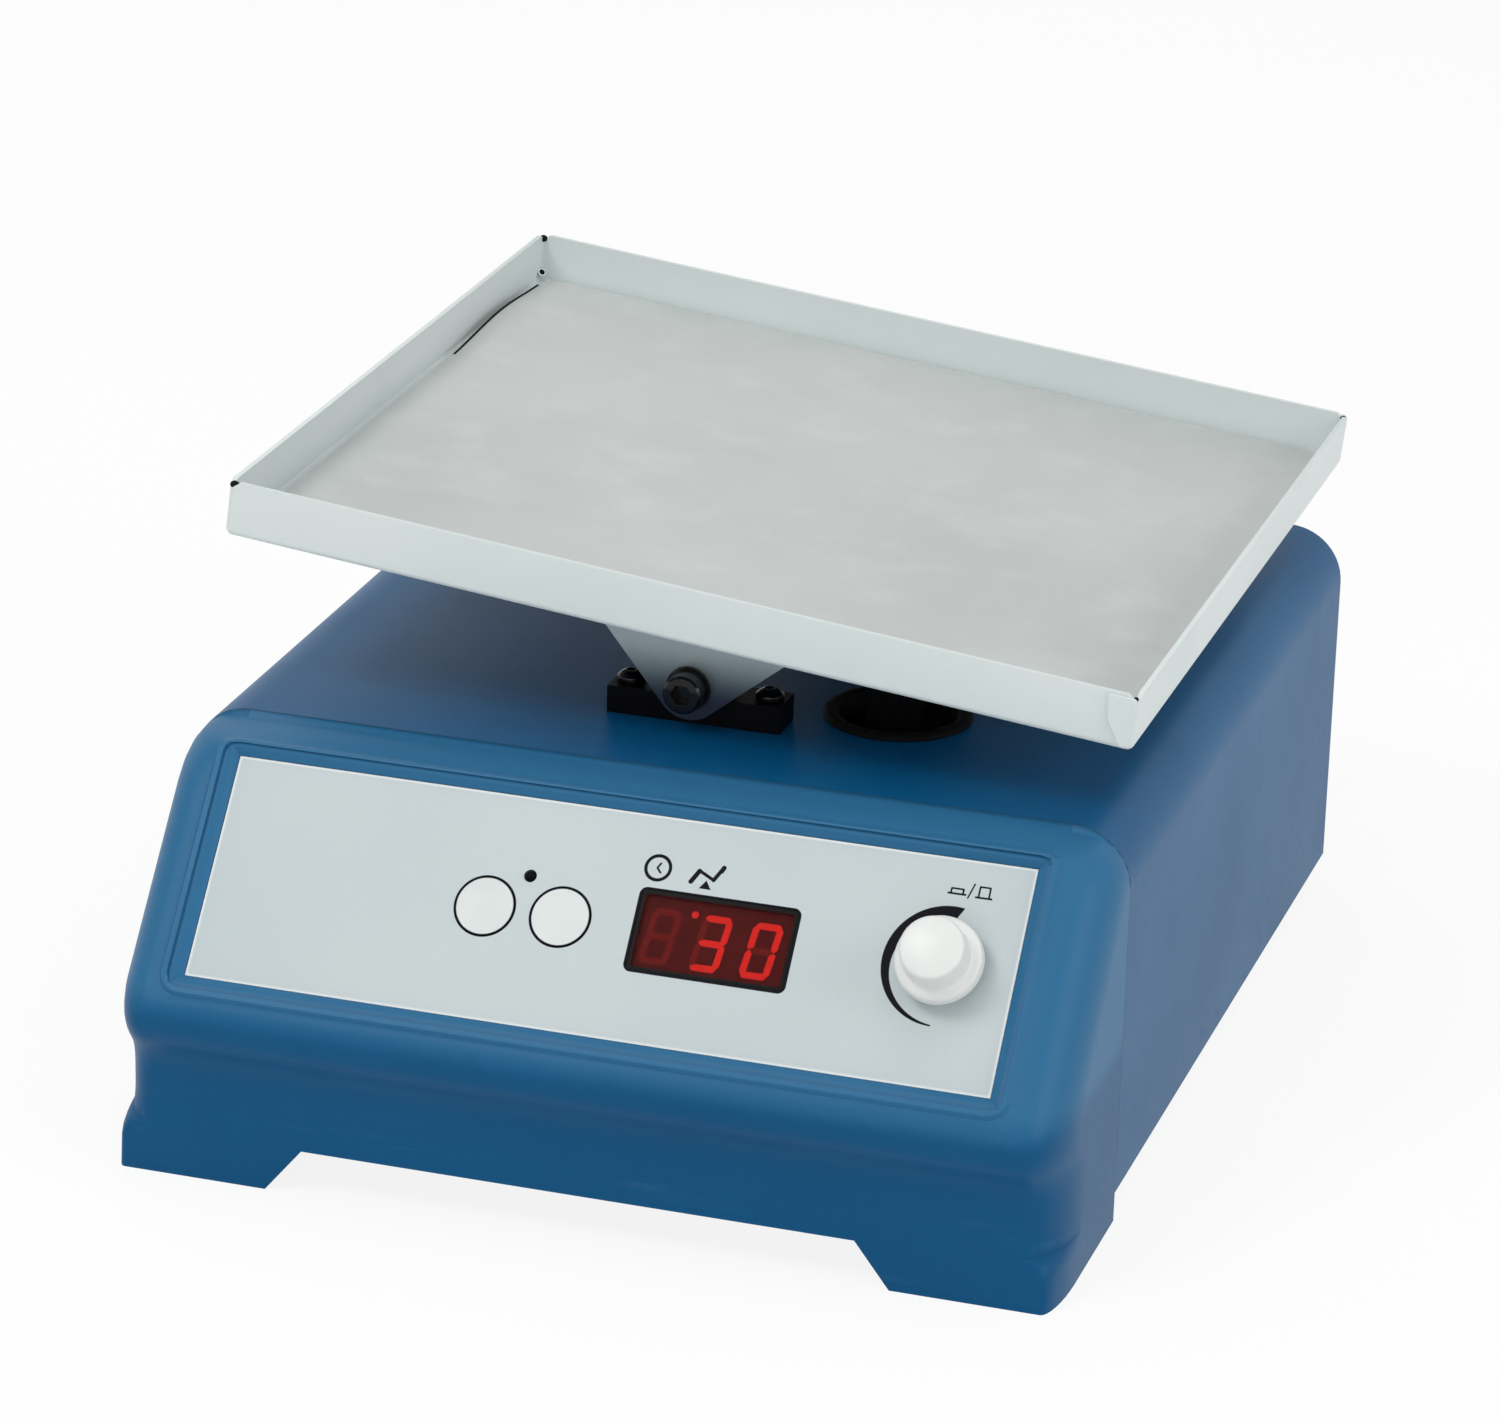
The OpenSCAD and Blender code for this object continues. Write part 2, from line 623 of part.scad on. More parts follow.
module indicator_lamp() color([0.08, 0.07, 0.07]) on_panel(lamp_x, lamp_y) {
    translate([0, 0, board_front + skin]) cylinder(d = lamp_d, h = -board_front - 0.4);
    translate([0, 0, -0.6]) sphere(d = lamp_d);
}

module control_board() color([0.1, 0.33, 0.18]) difference() {
    on_panel(0, 0, board_front - board_t)
        translate([board_left, 4, 0]) cube([board_right - board_left, board_l, board_t - skin]);
    for (x = standoff_x, y = standoff_y) on_panel(x, y, board_front - board_t - 1) cylinder(d = 3, h = 4);
}

module board_screws() color([0.62, 0.63, 0.65]) for (x = standoff_x, y = standoff_y)
    on_panel(x, y, board_front - board_t) mirror([0, 0, 1]) pan_screw(2.5, 6, 4.6);

// ---- speed control with its push switch ----

bushing_d = 9;
control_size = 22;
control_front = -3.4;
control_l = 16;
spindle_d = 6;
module speed_control() color([0.2, 0.22, 0.25]) on_panel(knob_x, knob_y) difference() {
    union() {
        translate([-control_size / 2, -control_size / 2, control_front - control_l])
            cube([control_size, control_size, control_l]);
        translate([0, 0, control_front - skin]) cylinder(d = bushing_d, h = -control_front + 2.6);
    }
    translate([0, 0, control_front - control_l + 2]) cylinder(d = spindle_d + 0.16, h = 40);
    translate([0, 0, control_front - control_l + 2]) cylinder(d = 9.2, h = 7);
}

module control_nut() color([0.75, 0.76, 0.77]) on_panel(knob_x, knob_y, skin) difference() {
    cylinder(d = 13, h = 2, $fn = 6);
    translate([0, 0, -1]) cylinder(d = bushing_d + 0.1, h = 4);
}

// The plunger is pushed by the shaft and works the mains switch.
plunger_back = control_front - control_l + 2.8;
module switch_plunger() color([0.85, 0.83, 0.75]) on_panel(knob_x, knob_y, plunger_back) difference() {
    cylinder(d = 9, h = 3.6);
    translate([0, 0, 1.4]) cylinder(d = 4.16, h = 4);
}

knob_gap = 3.4;      // room under the knob for the nut and the push
module knob_shaft() color([0.7, 0.71, 0.72]) on_panel(knob_x, knob_y) {
    translate([0, 0, plunger_back + 3.7]) cylinder(d = spindle_d, h = knob_h - 3 - plunger_back - 3.7);
    translate([0, 0, plunger_back + 1.5]) cylinder(d = 4, h = 2.4);
}

// The knob is a stepped cap: a wide skirt, a round shoulder and a narrower grip.
grip_d = 16.2;
skirt_h = 4;
module knob() color([0.93, 0.93, 0.92]) on_panel(knob_x, knob_y) difference() {
    rotate_extrude($fn = fine) polygon([[0, knob_gap], [knob_d / 2 - 0.4, knob_gap],
        [knob_d / 2, knob_gap + 0.4],
        [knob_d / 2 - 0.2, knob_gap + skirt_h - 1], [knob_d / 2 - 0.8, knob_gap + skirt_h - 0.3],
        [grip_d / 2 + 0.6, knob_gap + skirt_h], [grip_d / 2 + 0.1, knob_gap + skirt_h + 0.5],
        [grip_d / 2 - 0.2, knob_h - 1], [grip_d / 2 - 0.5, knob_h - 0.3], [grip_d / 2 - 1.2, knob_h],
            [0, knob_h]]);
    translate([0, 0, -1]) cylinder(d = spindle_d + 0.04, h = knob_h - 3 + 1);
    translate([0, 0, knob_gap - 1]) cylinder(d = 14.4, h = 1 + knob_travel - 0.2);
}

// ---- power supply ----

board_x = 48;
board_y = joint_y + 130;
spacer_h = 6;
power_z = base_top + spacer_h;
module power_board() color([0.1, 0.33, 0.18]) difference() {
    union() {
        box(board_x - 40, board_x + 40, board_y - 45, board_y + 45, power_z + skin, power_z + 1.6);
        translate([board_x - 20, board_y - 20, power_z + 1.5]) cylinder(d = 16, h = 24);
        box(board_x + 2, board_x + 26, board_y + 8, board_y + 30, power_z + 1.5, power_z + 16);
        box(board_x - 32, board_x - 12, board_y + 12, board_y + 36, power_z + 1.5, power_z + 13);
        box(board_x + 6, board_x + 9, board_y - 34, board_y - 6, power_z + 1.5, power_z + 22);
    }
    for (sx = [-1, 1], sy = [-1, 1])
        translate([board_x + 35 * sx, board_y + 40 * sy, power_z - 1]) cylinder(d = 3, h = 4);
}

module board_spacers() color([0.8, 0.8, 0.78]) for (sx = [-1, 1], sy = [-1, 1])
    translate([board_x + 35 * sx, board_y + 40 * sy, base_top + skin]) {
        cylinder(d = 6, h = spacer_h - 0.1);
        cylinder(d = 2.8, h = spacer_h + 3);
    }

trans_x = -48;
trans_y = joint_y + 120;
module transformer() {
    color([0.35, 0.35, 0.37]) difference() {
        box(trans_x - 28, trans_x + 28, trans_y - 17, trans_y + 17, base_top + skin, base_top + 47);
        for (s = [-1, 1]) box(trans_x + s * 14 - 5.5, trans_x + s * 14 + 5.5, trans_y - 18, trans_y + 18,
                              base_top + 9, base_top + 38);
    }
    color([0.75, 0.5, 0.2]) difference() {
        box(trans_x - 19.3, trans_x + 19.3, trans_y - 24, trans_y + 24, base_top + 9.2, base_top + 37.8);
        box(trans_x - 8.4, trans_x + 8.4, trans_y - 17.2, trans_y + 17.2, base_top + 8, base_top + 39);
    }
}

// ---- mains inlet ----

module inlet_outline(grow) polygon([
    [-12.5 - grow, -9 - grow], [12.5 + grow, -9 - grow], [12.5 + grow, 5 + grow * 0.6],
    [8.5 + grow * 0.6, 9 + grow], [-8.5 - grow * 0.6, 9 + grow], [-12.5 - grow, 5 + grow * 0.6]]);

module mains_inlet() color([0.07, 0.07, 0.08]) difference() {
    union() {
        translate([inlet_x, 0, inlet_z]) bar_y(back_y + skin, inlet_proud)
            round_rect(inlet_flange_w, inlet_flange_h, 4);
        translate([inlet_x, 0, inlet_z]) bar_y(back_y - inlet_depth - 2, inlet_depth + 2.1)
            square([inlet_w, inlet_h], center = true);
    }
    translate([inlet_x, 0, inlet_z]) bar_y(back_y - inlet_depth, inlet_depth + 6) inlet_outline(0);
    for (s = [-1, 1]) {
        along_y(inlet_x + s * inlet_screw_x, back_y - 1, inlet_z) cylinder(d = screw_d + 0.4, h = 6);
        along_y(inlet_x + s * inlet_screw_x, back_y + inlet_proud - sunk_h, inlet_z)
            cylinder(d1 = screw_d + 0.3, d2 = 2 * screw_d + 0.3, h = sunk_h + 0.1);
    }
    for (p = pin_places) translate([inlet_x + p[0], back_y - inlet_depth - 1, inlet_z + p[1]])
        cube([2.1, 8, 4.1], center = true);
}

pin_places = [[0, 2.2], [-7, -2], [7, -2]];
module inlet_pins() color([0.8, 0.8, 0.8]) for (p = pin_places)
    translate([inlet_x + p[0], back_y - inlet_depth / 2 - 4.5, inlet_z + p[1]])
        cube([2, inlet_depth + 4, 4], center = true);

sunk_h = 1.7;
module inlet_screws() color([0.62, 0.63, 0.65]) for (s = [-1, 1])
    translate([inlet_x + s * inlet_screw_x, back_y + inlet_proud - skin, inlet_z]) rotate([-90, 0, 0])
        difference() {
        union() {
            translate([0, 0, -sunk_h + 0.15]) cylinder(d1 = screw_d, d2 = 2 * screw_d - 0.3,
                h = sunk_h - 0.15);
            translate([0, 0, -9]) cylinder(d = screw_d, h = 8);
        }
        for (a = [0, 90]) rotate([0, 0, a]) cube([0.8, 3.4, 1.6], center = true);
    }

// ---- platform ----

tab_l = 13;
tab_t = 0.8;
module tray() color([0.83, 0.86, 0.86]) on_platform() translate([0, tray_y, 0]) {
    difference() {
        box(-tray_side / 2, tray_side / 2, -tray_side / 2 + tab_t, tray_side / 2 - tab_t, tray_base,
            rim_rise);
        box(-tray_side / 2 + tray_t, tray_side / 2 - tray_t, -tray_side / 2 + tab_t + tray_t,
            tray_side / 2 - tab_t - tray_t, tray_base + tray_t, rim_rise + 1);
        for (p = rivet_places) translate([p[0], p[1] - tray_y, tray_base]) {
            translate([0, 0, -1]) cylinder(d = 4.1, h = 4);
            translate([0, 0, tray_t - rivet_sink]) cylinder(d1 = 4.1, d2 = 6.6, h = rivet_sink + skin);
        }
        for (p = arm_screw_places) translate([p[0], p[1] - tray_y, tray_base - 1]) cylinder(d = 4.2, h = 4);
    }
    // corner flaps folded from the side walls over the front and back walls
    for (sx = [-1, 1], sy = [-1, 1]) mirror([sx < 0 ? 1 : 0, 0, 0])
        mirror([0, sy > 0 ? 1 : 0, 0])
        bar_y(-tray_side / 2, tab_t + skin) polygon([[tray_side / 2 - tab_l,
            tray_base + tray_wall_h * 0.62],
            [tray_side / 2 - tab_l * 0.85, rim_rise - 0.4], [tray_side / 2, rim_rise - 0.4],
            [tray_side / 2, tray_base + 0.6], [tray_side / 2 - 3, tray_base + 0.6]]);
}

mat_gap = 3;
module nonslip_mat() color([0.72, 0.74, 0.74]) on_platform() translate([0, tray_y, 0]) {
    box(-tray_side / 2 + tray_t + mat_gap, tray_side / 2 - tray_t - mat_gap,
        -tray_side / 2 + tray_t + mat_gap, tray_side / 2 - tray_t - mat_gap,
        tray_base + tray_t + skin, tray_base + tray_t + skin + mat_t);
}

module lug_plate(y) bar_y(y, lug_t) difference() {
    union() {
        circle(lug_r, $fn = fine);
        polygon([[lug_side, -lug_side], [lug_spread, tray_base - 1], [-lug_spread, tray_base - 1],
            [-lug_side, -lug_side]]);
    }
    circle(d = bush_od + 0.04);
}
lug_side = (lug_r - 0.03) * cos(45);
lug_spread = 2 * lug_side + tray_base - 1;

rivet_places = [for (x = [-22, 22], y = [lug_front + 12, tray_y - 28, tray_y + 28, lug_back - 12]) [x, y]];
module cradle() color([0.62, 0.66, 0.69]) on_platform() difference() {
    union() {
        box(-cradle_w / 2, cradle_w / 2, lug_front, lug_back, tray_base - cradle_t - skin,
            tray_base - skin);
        lug_plate(lug_front);
        lug_plate(lug_back - lug_t);
    }
    for (p = rivet_places) translate([p[0], p[1], tray_base - 5]) cylinder(d = 4.1, h = 8);
    // opening that clears the block's crown below the channel
    box(-10, 10, tray_y - 60, tray_y + 60, tray_base - 6, tray_base + 2);
}

// Rivets join the cradle to the tray: a sunk head under the mat, a closed head below.
rivet_sink = 1;
module cradle_rivets() color([0.68, 0.7, 0.72]) on_platform() for (p = rivet_places)
    translate([p[0], p[1], 0]) {
    translate([0, 0, tray_base - cradle_t - 0.5]) cylinder(d = 4, h = cradle_t + tray_t);
    translate([0, 0, tray_base - cradle_t - 1.2 - 2 * skin]) cylinder(d = 7, h = 1.2);
    translate([0, 0, tray_base + tray_t - rivet_sink]) cylinder(d1 = 3.9, d2 = 6.3, h = rivet_sink - skin);
}

// ---- pivots: each pair is a mirror image about the middle of the tray ----

module both_ends() {
    children();
    translate([0, 2 * tray_y, 0]) mirror([0, 1, 0]) children();
}

module pivot_bushes() color([0.75, 0.65, 0.35]) both_ends() difference() {
    union() {
        along_y(0, lug_front + 0.1, pivot_z) cylinder(d = bush_od, h = lug_t + 0.5);
        along_y(0, lug_front + lug_t + skin, pivot_z) cylinder(d = 11.4, h = bush_flange - 0.1);
    }
    along_y(0, lug_front - 1, pivot_z) cylinder(d = screw_shoulder + 0.1, h = 10);
}

module pivot_washers() color([0.6, 0.61, 0.63]) both_ends() difference() {
    along_y(0, lug_front - 0.15 - washer_t, pivot_z) cylinder(d = 11.4, h = washer_t);
    along_y(0, lug_front - 3, pivot_z) cylinder(d = screw_shoulder + 0.1, h = 6);
}

module pivot_screws() color([0.12, 0.12, 0.13]) both_ends() difference() {
    union() {
        along_y(0, lug_front - 0.2 - washer_t - head_h, pivot_z)
            rotate_extrude($fn = fine) polygon([[0, 0], [head_d / 2 - 0.6, 0], [head_d / 2, 0.6],
                [head_d / 2, head_h], [0, head_h]]);
        along_y(0, lug_front - 0.2 - washer_t - skin, pivot_z)
            cylinder(d = screw_shoulder, h = block_y - lug_front + 0.2 + washer_t);
        along_y(0, block_y - 0.1, pivot_z) cylinder(d = 5, h = 9);
    }
    along_y(0, lug_front - 0.3 - washer_t - head_h, pivot_z) cylinder(d = 5.8, h = 3, $fn = 6);
}

crown_r = 7.9;
module pivot_block() {
    yb = block_y;
    difference() {
        union() {
            box(-block_w / 2, block_w / 2, yb, yb + block_d, housing_h + skin, housing_h + block_h);
            box(-crown_r, crown_r, yb, yb + block_d, housing_h + skin, pivot_z);
            along_y(0, yb, pivot_z) cylinder(r = crown_r, h = block_d);
        }
        along_y(0, yb - 1, pivot_z) cylinder(d = 5.1, h = block_d + 2);
        for (s = [-1, 1]) translate([s * block_screw_x, yb + block_d / 2, housing_h - 1])
            cylinder(d = 3.6, h = 20);
    }
}
module front_block() color([0.06, 0.06, 0.07]) pivot_block();
module rear_block() color([0.06, 0.06, 0.07]) translate([0, 2 * tray_y, 0]) mirror([0, 1, 0]) pivot_block();

dome_d = 7.2;
dome_h = 3;
module block_screws() color([0.1, 0.1, 0.11]) both_ends() for (s = [-1, 1])
    translate([s * block_screw_x, block_y + block_d / 2, housing_h + block_h + skin]) difference() {
        union() {
            intersection() {
                cylinder(d = dome_d, h = dome_h);
                translate([0, 0, dome_h - 4.6]) sphere(4.6);
            }
            translate([0, 0, -block_h - wall - 4]) cylinder(d = screw_d, h = block_h + wall + 4 + skin);
        }
        translate([0, 0, dome_h - 1.3]) cylinder(d = 2.6, h = 3, $fn = 6);
    }

// ---- drive ----

grommet_t = 2;
module drive_grommet() color([0.05, 0.05, 0.05]) translate([arm_x, arm_y, 0]) rotate_extrude($fn = fine)
    polygon([[opening_d / 2 - grommet_t, ceiling - 1.6], [opening_d / 2 + 2, ceiling - 1.6],
             [opening_d / 2 + 2, ceiling - skin], [opening_d / 2 - skin, ceiling - skin],
             [opening_d / 2 - skin, housing_h + skin], [opening_d / 2 + 2, housing_h + skin],
             [opening_d / 2 + 1.4, housing_h + 1.5], [opening_d / 2 - 0.6, housing_h + 1.8],
             [opening_d / 2 - grommet_t, housing_h + 1.2]]);

arm_neck = 14;
arm_foot_l = 20;
arm_foot_w = 26;
pad_r = 6;
arm_screw_places = [for (s = [-1, 1]) [arm_x + s * 8, arm_y + 12]];
module slot_outline() {
    square([slot_l - slot_h, slot_h], center = true);
    for (s = [-1, 1]) translate([s * (slot_l - slot_h) / 2, 0]) circle(d = slot_h);
}
module drive_arm() color([0.6, 0.64, 0.67]) on_platform() {
    difference() {
        union() {
            bar_y(arm_y - arm_t / 2, arm_t) {
                translate([arm_x - arm_neck / 2, slot_z]) square([arm_neck, tray_base - slot_z - skin]);
                translate([arm_x, slot_z]) round_rect(slot_l + 2 * arm_rim, slot_h + 2 * arm_rim, pad_r);
            }
            box(arm_x - arm_foot_w / 2, arm_x + arm_foot_w / 2, arm_y - arm_t / 2, arm_y + arm_foot_l,
                tray_base - arm_t - skin, tray_base - skin);
        }
        bar_y(arm_y - arm_t, 2 * arm_t) translate([arm_x, slot_z]) slot_outline();
        for (p = arm_screw_places) translate([p[0], p[1], tray_base - 6]) cylinder(d = 4.2, h = 8);
    }
}

module arm_screws() color([0.62, 0.63, 0.65]) on_platform() for (p = arm_screw_places) {
    translate([p[0], p[1], tray_base - arm_t - 0.1]) mirror([0, 0, 1]) pan_screw(4, arm_t + tray_t, 7);
}

module at_crank() translate([arm_x, 0, crank_z]) rotate([0, crank_rest, 0]) children();

module crank_disc() color([0.7, 0.7, 0.72]) at_crank() difference() {
    along_y(0, disc_front, 0) cylinder(r = disc_r, h = disc_t);
    along_y(0, disc_front - 1, 0) cylinder(d = shaft_d + 0.02, h = disc_t + 2);
    along_y(throw, disc_front - 1, 0) cylinder(d = 3.02, h = disc_t + 2);
}

pin_front = arm_y - arm_t / 2 - 2.2;
module crank_pin() color([0.75, 0.75, 0.77]) at_crank() {
    along_y(throw, pin_front, 0) cylinder(d = 3, h = disc_front + disc_t - pin_front);
    along_y(throw, pin_front - 1, 0) cylinder(d = 5.4, h = 1 + skin);
}

module crank_roller() color([0.9, 0.9, 0.88]) at_crank() difference() {
    along_y(throw, pin_front + 0.1, 0) cylinder(d = roller_d, h = disc_front - pin_front - 0.2);
    along_y(throw, pin_front - 1, 0) cylinder(d = 3.1, h = 12);
}

module output_shaft() color([0.75, 0.75, 0.77]) at_crank()
    along_y(0, disc_front, 0) cylinder(d = shaft_d, h = gearbox_front + 14 - disc_front);

module gearbox() color([0.6, 0.6, 0.62]) difference() {
    union() {
        along_y(arm_x, gearbox_front + skin, crank_z - gearbox_drop)
            cylinder(d = gearbox_d, h = gearbox_l, $fn = fine);
        along_y(arm_x, gearbox_front - bracket_t - 0.8, crank_z) cylinder(d = 12, h = bracket_t + 1);
    }
    along_y(arm_x, gearbox_front - bracket_t - 2, crank_z)
        cylinder(d = shaft_d + 0.1, h = bracket_t + 16.4);
}

motor_front = gearbox_front + gearbox_l + 2 * skin;
module motor() color([0.25, 0.25, 0.27]) {
    along_y(arm_x, motor_front, crank_z - gearbox_drop) cylinder(d = motor_d, h = motor_l - 6, $fn = fine);
    along_y(arm_x, motor_front + motor_l - 6 - skin, crank_z - gearbox_drop)
        cylinder(d = motor_d - 4, h = 4);
    along_y(arm_x, motor_front + motor_l - 2 - 2 * skin, crank_z - gearbox_drop) cylinder(d = 9, h = 2);
}

bracket_w = 2 * ear_x + 14;
module motor_bracket() color([0.66, 0.67, 0.69]) difference() {
    union() {
        box(arm_x - bracket_w / 2, arm_x + bracket_w / 2, bracket_front, bracket_front + bracket_t,
            crank_z - gearbox_drop - gearbox_d / 2 - 2, ear_z + bracket_t);
        along_y(arm_x, bracket_front, crank_z - gearbox_drop)
            cylinder(d = gearbox_d, h = bracket_t, $fn = fine);
        for (s = [-1, 1])
            box(arm_x + s * ear_x - 6, arm_x + s * ear_x + 6, bracket_front, ear_y + 7, ear_z,
                ear_z + bracket_t);
    }
    along_y(arm_x, bracket_front - 1, crank_z) cylinder(d = 12.2, h = bracket_t + 2);
    for (s = [-1, 1]) translate([arm_x + s * ear_x, ear_y, ear_z - 1]) cylinder(d = 3.4, h = 5);
}

module bracket_screws() color([0.62, 0.63, 0.65]) for (s = [-1, 1])
    translate([arm_x + s * ear_x, ear_y, ear_z - skin]) mirror([0, 0, 1]) pan_screw(screw_d, 12);

housing();
front_bezel();
rear_panel();
base_plate();
rubber_feet();
base_screws();
rear_screws();
control_overlay();
display_window();
display_module();
display_segments();
start_button();
mode_button();
indicator_lamp();
button_switches();
control_board();
board_screws();
knob();
knob_shaft();
switch_plunger();
speed_control();
control_nut();
power_board();
board_spacers();
transformer();
mains_inlet();
inlet_pins();
inlet_screws();
tray();
nonslip_mat();
cradle();
cradle_rivets();
pivot_bushes();
pivot_screws();
pivot_washers();
front_block();
rear_block();
block_screws();
drive_grommet();
drive_arm();
arm_screws();
crank_disc();
crank_pin();
crank_roller();
output_shaft();
gearbox();
motor();
motor_bracket();
bracket_screws();
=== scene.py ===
import json
import math

import bmesh
import bpy
from mathutils import Matrix, Vector

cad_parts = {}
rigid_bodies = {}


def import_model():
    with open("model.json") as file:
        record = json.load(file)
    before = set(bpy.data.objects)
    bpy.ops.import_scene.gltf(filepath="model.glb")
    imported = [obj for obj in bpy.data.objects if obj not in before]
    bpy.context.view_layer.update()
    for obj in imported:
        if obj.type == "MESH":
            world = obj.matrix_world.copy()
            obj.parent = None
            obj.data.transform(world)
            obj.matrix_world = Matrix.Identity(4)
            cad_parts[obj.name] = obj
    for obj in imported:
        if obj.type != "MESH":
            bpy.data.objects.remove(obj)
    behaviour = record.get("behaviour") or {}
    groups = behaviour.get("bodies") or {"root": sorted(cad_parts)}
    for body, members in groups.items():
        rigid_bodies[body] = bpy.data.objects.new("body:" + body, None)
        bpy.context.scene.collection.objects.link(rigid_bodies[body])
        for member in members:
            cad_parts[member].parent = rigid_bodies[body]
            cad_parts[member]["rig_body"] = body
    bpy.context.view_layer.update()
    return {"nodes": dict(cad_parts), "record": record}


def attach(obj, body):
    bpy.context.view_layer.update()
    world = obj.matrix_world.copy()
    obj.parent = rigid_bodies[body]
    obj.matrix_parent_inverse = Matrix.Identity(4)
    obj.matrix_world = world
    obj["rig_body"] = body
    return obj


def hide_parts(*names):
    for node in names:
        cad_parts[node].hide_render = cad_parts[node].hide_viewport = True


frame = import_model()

nodes = frame["nodes"]
mm = 0.001


# shader maths

class Wire:  # one output of a shader node, with arithmetic
    def __init__(self, finish, socket):
        self.finish = finish
        self.socket = socket

    def maths(self, operation, *others):
        return self.finish.add("ShaderNodeMath", {"operation": operation}, dict(enumerate((self,) + others)))

    def __add__(self, other): return self.maths("ADD", other)
    def __radd__(self, other): return self.maths("ADD", other)
    def __sub__(self, other): return self.maths("SUBTRACT", other)
    def __mul__(self, other): return self.maths("MULTIPLY", other)
    def __rmul__(self, other): return self.maths("MULTIPLY", other)
    def __truediv__(self, other): return self.maths("DIVIDE", other)
    def __neg__(self): return self.maths("MULTIPLY", -1)
    def least(self, other): return self.maths("MINIMUM", other)
    def most(self, other): return self.maths("MAXIMUM", other)
    def size(self): return self.maths("ABSOLUTE")
    def power(self, other): return self.maths("POWER", other)

    def __rsub__(self, other):
        return self.finish.add("ShaderNodeMath", {"operation": "SUBTRACT"}, {0: other, 1: self})

    def ramp(self, low, high, fromValue=0.0, toValue=1.0):  # smooth step between two values
        return self.finish.add("ShaderNodeMapRange", {"interpolation_type": "SMOOTHSTEP"},
                               {0: self, 1: low, 2: high, 3: fromValue, 4: toValue})

    def below(self, edge, soft):  # 1 where the value is under the edge
        return self.ramp(edge - soft, edge + soft, 1.0, 0.0)

    def above(self, edge, soft):
        return self.ramp(edge - soft, edge + soft, 0.0, 1.0)


class Shading:  # adds nodes to one tree
    def __init__(self, tree):
        self.tree = tree
        self.tree.nodes.clear()

    def add(self, kind, settings=None, inputs=None, output=0):
        node = self.tree.nodes.new(kind)
        for name, value in (settings or {}).items():
            setattr(node, name, value)
        for key, value in (inputs or {}).items():
            if isinstance(value, Wire):
                self.tree.links.new(value.socket, node.inputs[key])
            else:
                node.inputs[key].default_value = value
        return None if output is None else Wire(self, node.outputs[output])


class Finish(Shading):  # a material with a Principled shader
    def __init__(self, name, **fixed):
        self.material = bpy.data.materials.new(name)
        self.material.use_nodes = True
        super().__init__(self.material.node_tree)
        self.output = self.tree.nodes.new("ShaderNodeOutputMaterial")
        self.shader = self.tree.nodes.new("ShaderNodeBsdfPrincipled")
        self.tree.links.new(self.shader.outputs[0], self.output.inputs[0])
        self.set(**fixed)
        self.place = self.add("ShaderNodeTexCoord", {}, {}, "Object")

    def set(self, **values):  # baseColor=... sets the Base Color socket
        for key, value in values.items():
            words = "".join(" " + c if c.isupper() else c for c in key)
            name = words[0].upper() + words[1:]
            name = {"Specular": "Specular IOR Level", "Ior": "IOR"}.get(name, name)
            if isinstance(value, Wire):
                self.tree.links.new(value.socket, self.shader.inputs[name])
            else:
                self.shader.inputs[name].default_value = value

    def split(self, vector=None):  # x, y and z of a vector
        node = self.tree.nodes.new("ShaderNodeSeparateXYZ")
        self.tree.links.new((vector or self.place).socket, node.inputs[0])
        return [Wire(self, socket) for socket in node.outputs]

    def dot(self, vector):  # how far the place lies along a direction
        inputs = {0: self.place, 1: vector}
        return self.add("ShaderNodeVectorMath", {"operation": "DOT_PRODUCT"}, inputs, "Value")

    def stretched(self, scale):
        return self.add("ShaderNodeVectorMath", {"operation": "MULTIPLY"}, {0: self.place, 1: scale})

    def noise(self, scale, detail=2.0, rough=0.5, vector=None):
        inputs = {"Vector": vector or self.place, "Scale": scale, "Detail": detail, "Roughness": rough}
        return self.add("ShaderNodeTexNoise", {}, inputs, "Fac")

    def cells(self, scale):
        return self.add("ShaderNodeTexVoronoi", {}, {"Vector": self.place, "Scale": scale}, "Distance")

    def mix(self, mask, first, second):  # colours
        return self.add("ShaderNodeMix", {"data_type": "RGBA"}, {0: mask, 6: first, 7: second}, 2)

    def bump(self, height, depth, strength):
        inputs = {"Strength": strength, "Distance": depth, "Height": height}
        self.set(normal=self.add("ShaderNodeBump", {}, inputs))


def linear(r, g, b):  # a screen colour from 0 to 255 as Blender's linear colour
    def channel(v):
        v /= 255
        return v / 12.92 if v <= 0.04045 else ((v + 0.055) / 1.055) ** 2.4
    return (channel(r), channel(g), channel(b), 1.0)


# where things are

record = frame["record"]
jointOf = {joint["name"]: joint for joint in record["behaviour"]["joints"]}
mountOf = {mount["name"]: mount for mount in record["mounts"]}
slotOf = {part["node"]: part["material_slot"] for part in record["subparts"]}
knobAxis = Vector(jointOf["knob_turn"]["axis"])
panelRight = Vector((1, 0, 0))
panelUp = knobAxis.cross(panelRight)
panelLayout = {  # millimetres from the middle of the panel's lower edge
    "knob": (83.5, 30.1), "start": (-30.8, 28.3), "mode": (-11.6, 28.3),
    "window": (26.7, 28.3), "clock": (9.6, 44.0), "width": 202.6, "length": 57.0}
panelCorner = (Vector(jointOf["knob_turn"]["pos_m"]) - panelRight * panelLayout["knob"][0] * mm
               - panelUp * panelLayout["knob"][1] * mm)
pivot = Vector(jointOf["platform_rock"]["pos_m"])
bedAxis = Vector(mountOf["platform_bed"]["axis"])
restTilt = math.atan2(bedAxis.x, bedAxis.z)
platformSpace = Matrix.Translation(pivot) @ Matrix.Rotation(restTilt, 4, "Y")
panelSpace = Matrix.Translation(panelCorner) @ Matrix((panelRight, panelUp, knobAxis)).transposed().to_4x4()


# finishes

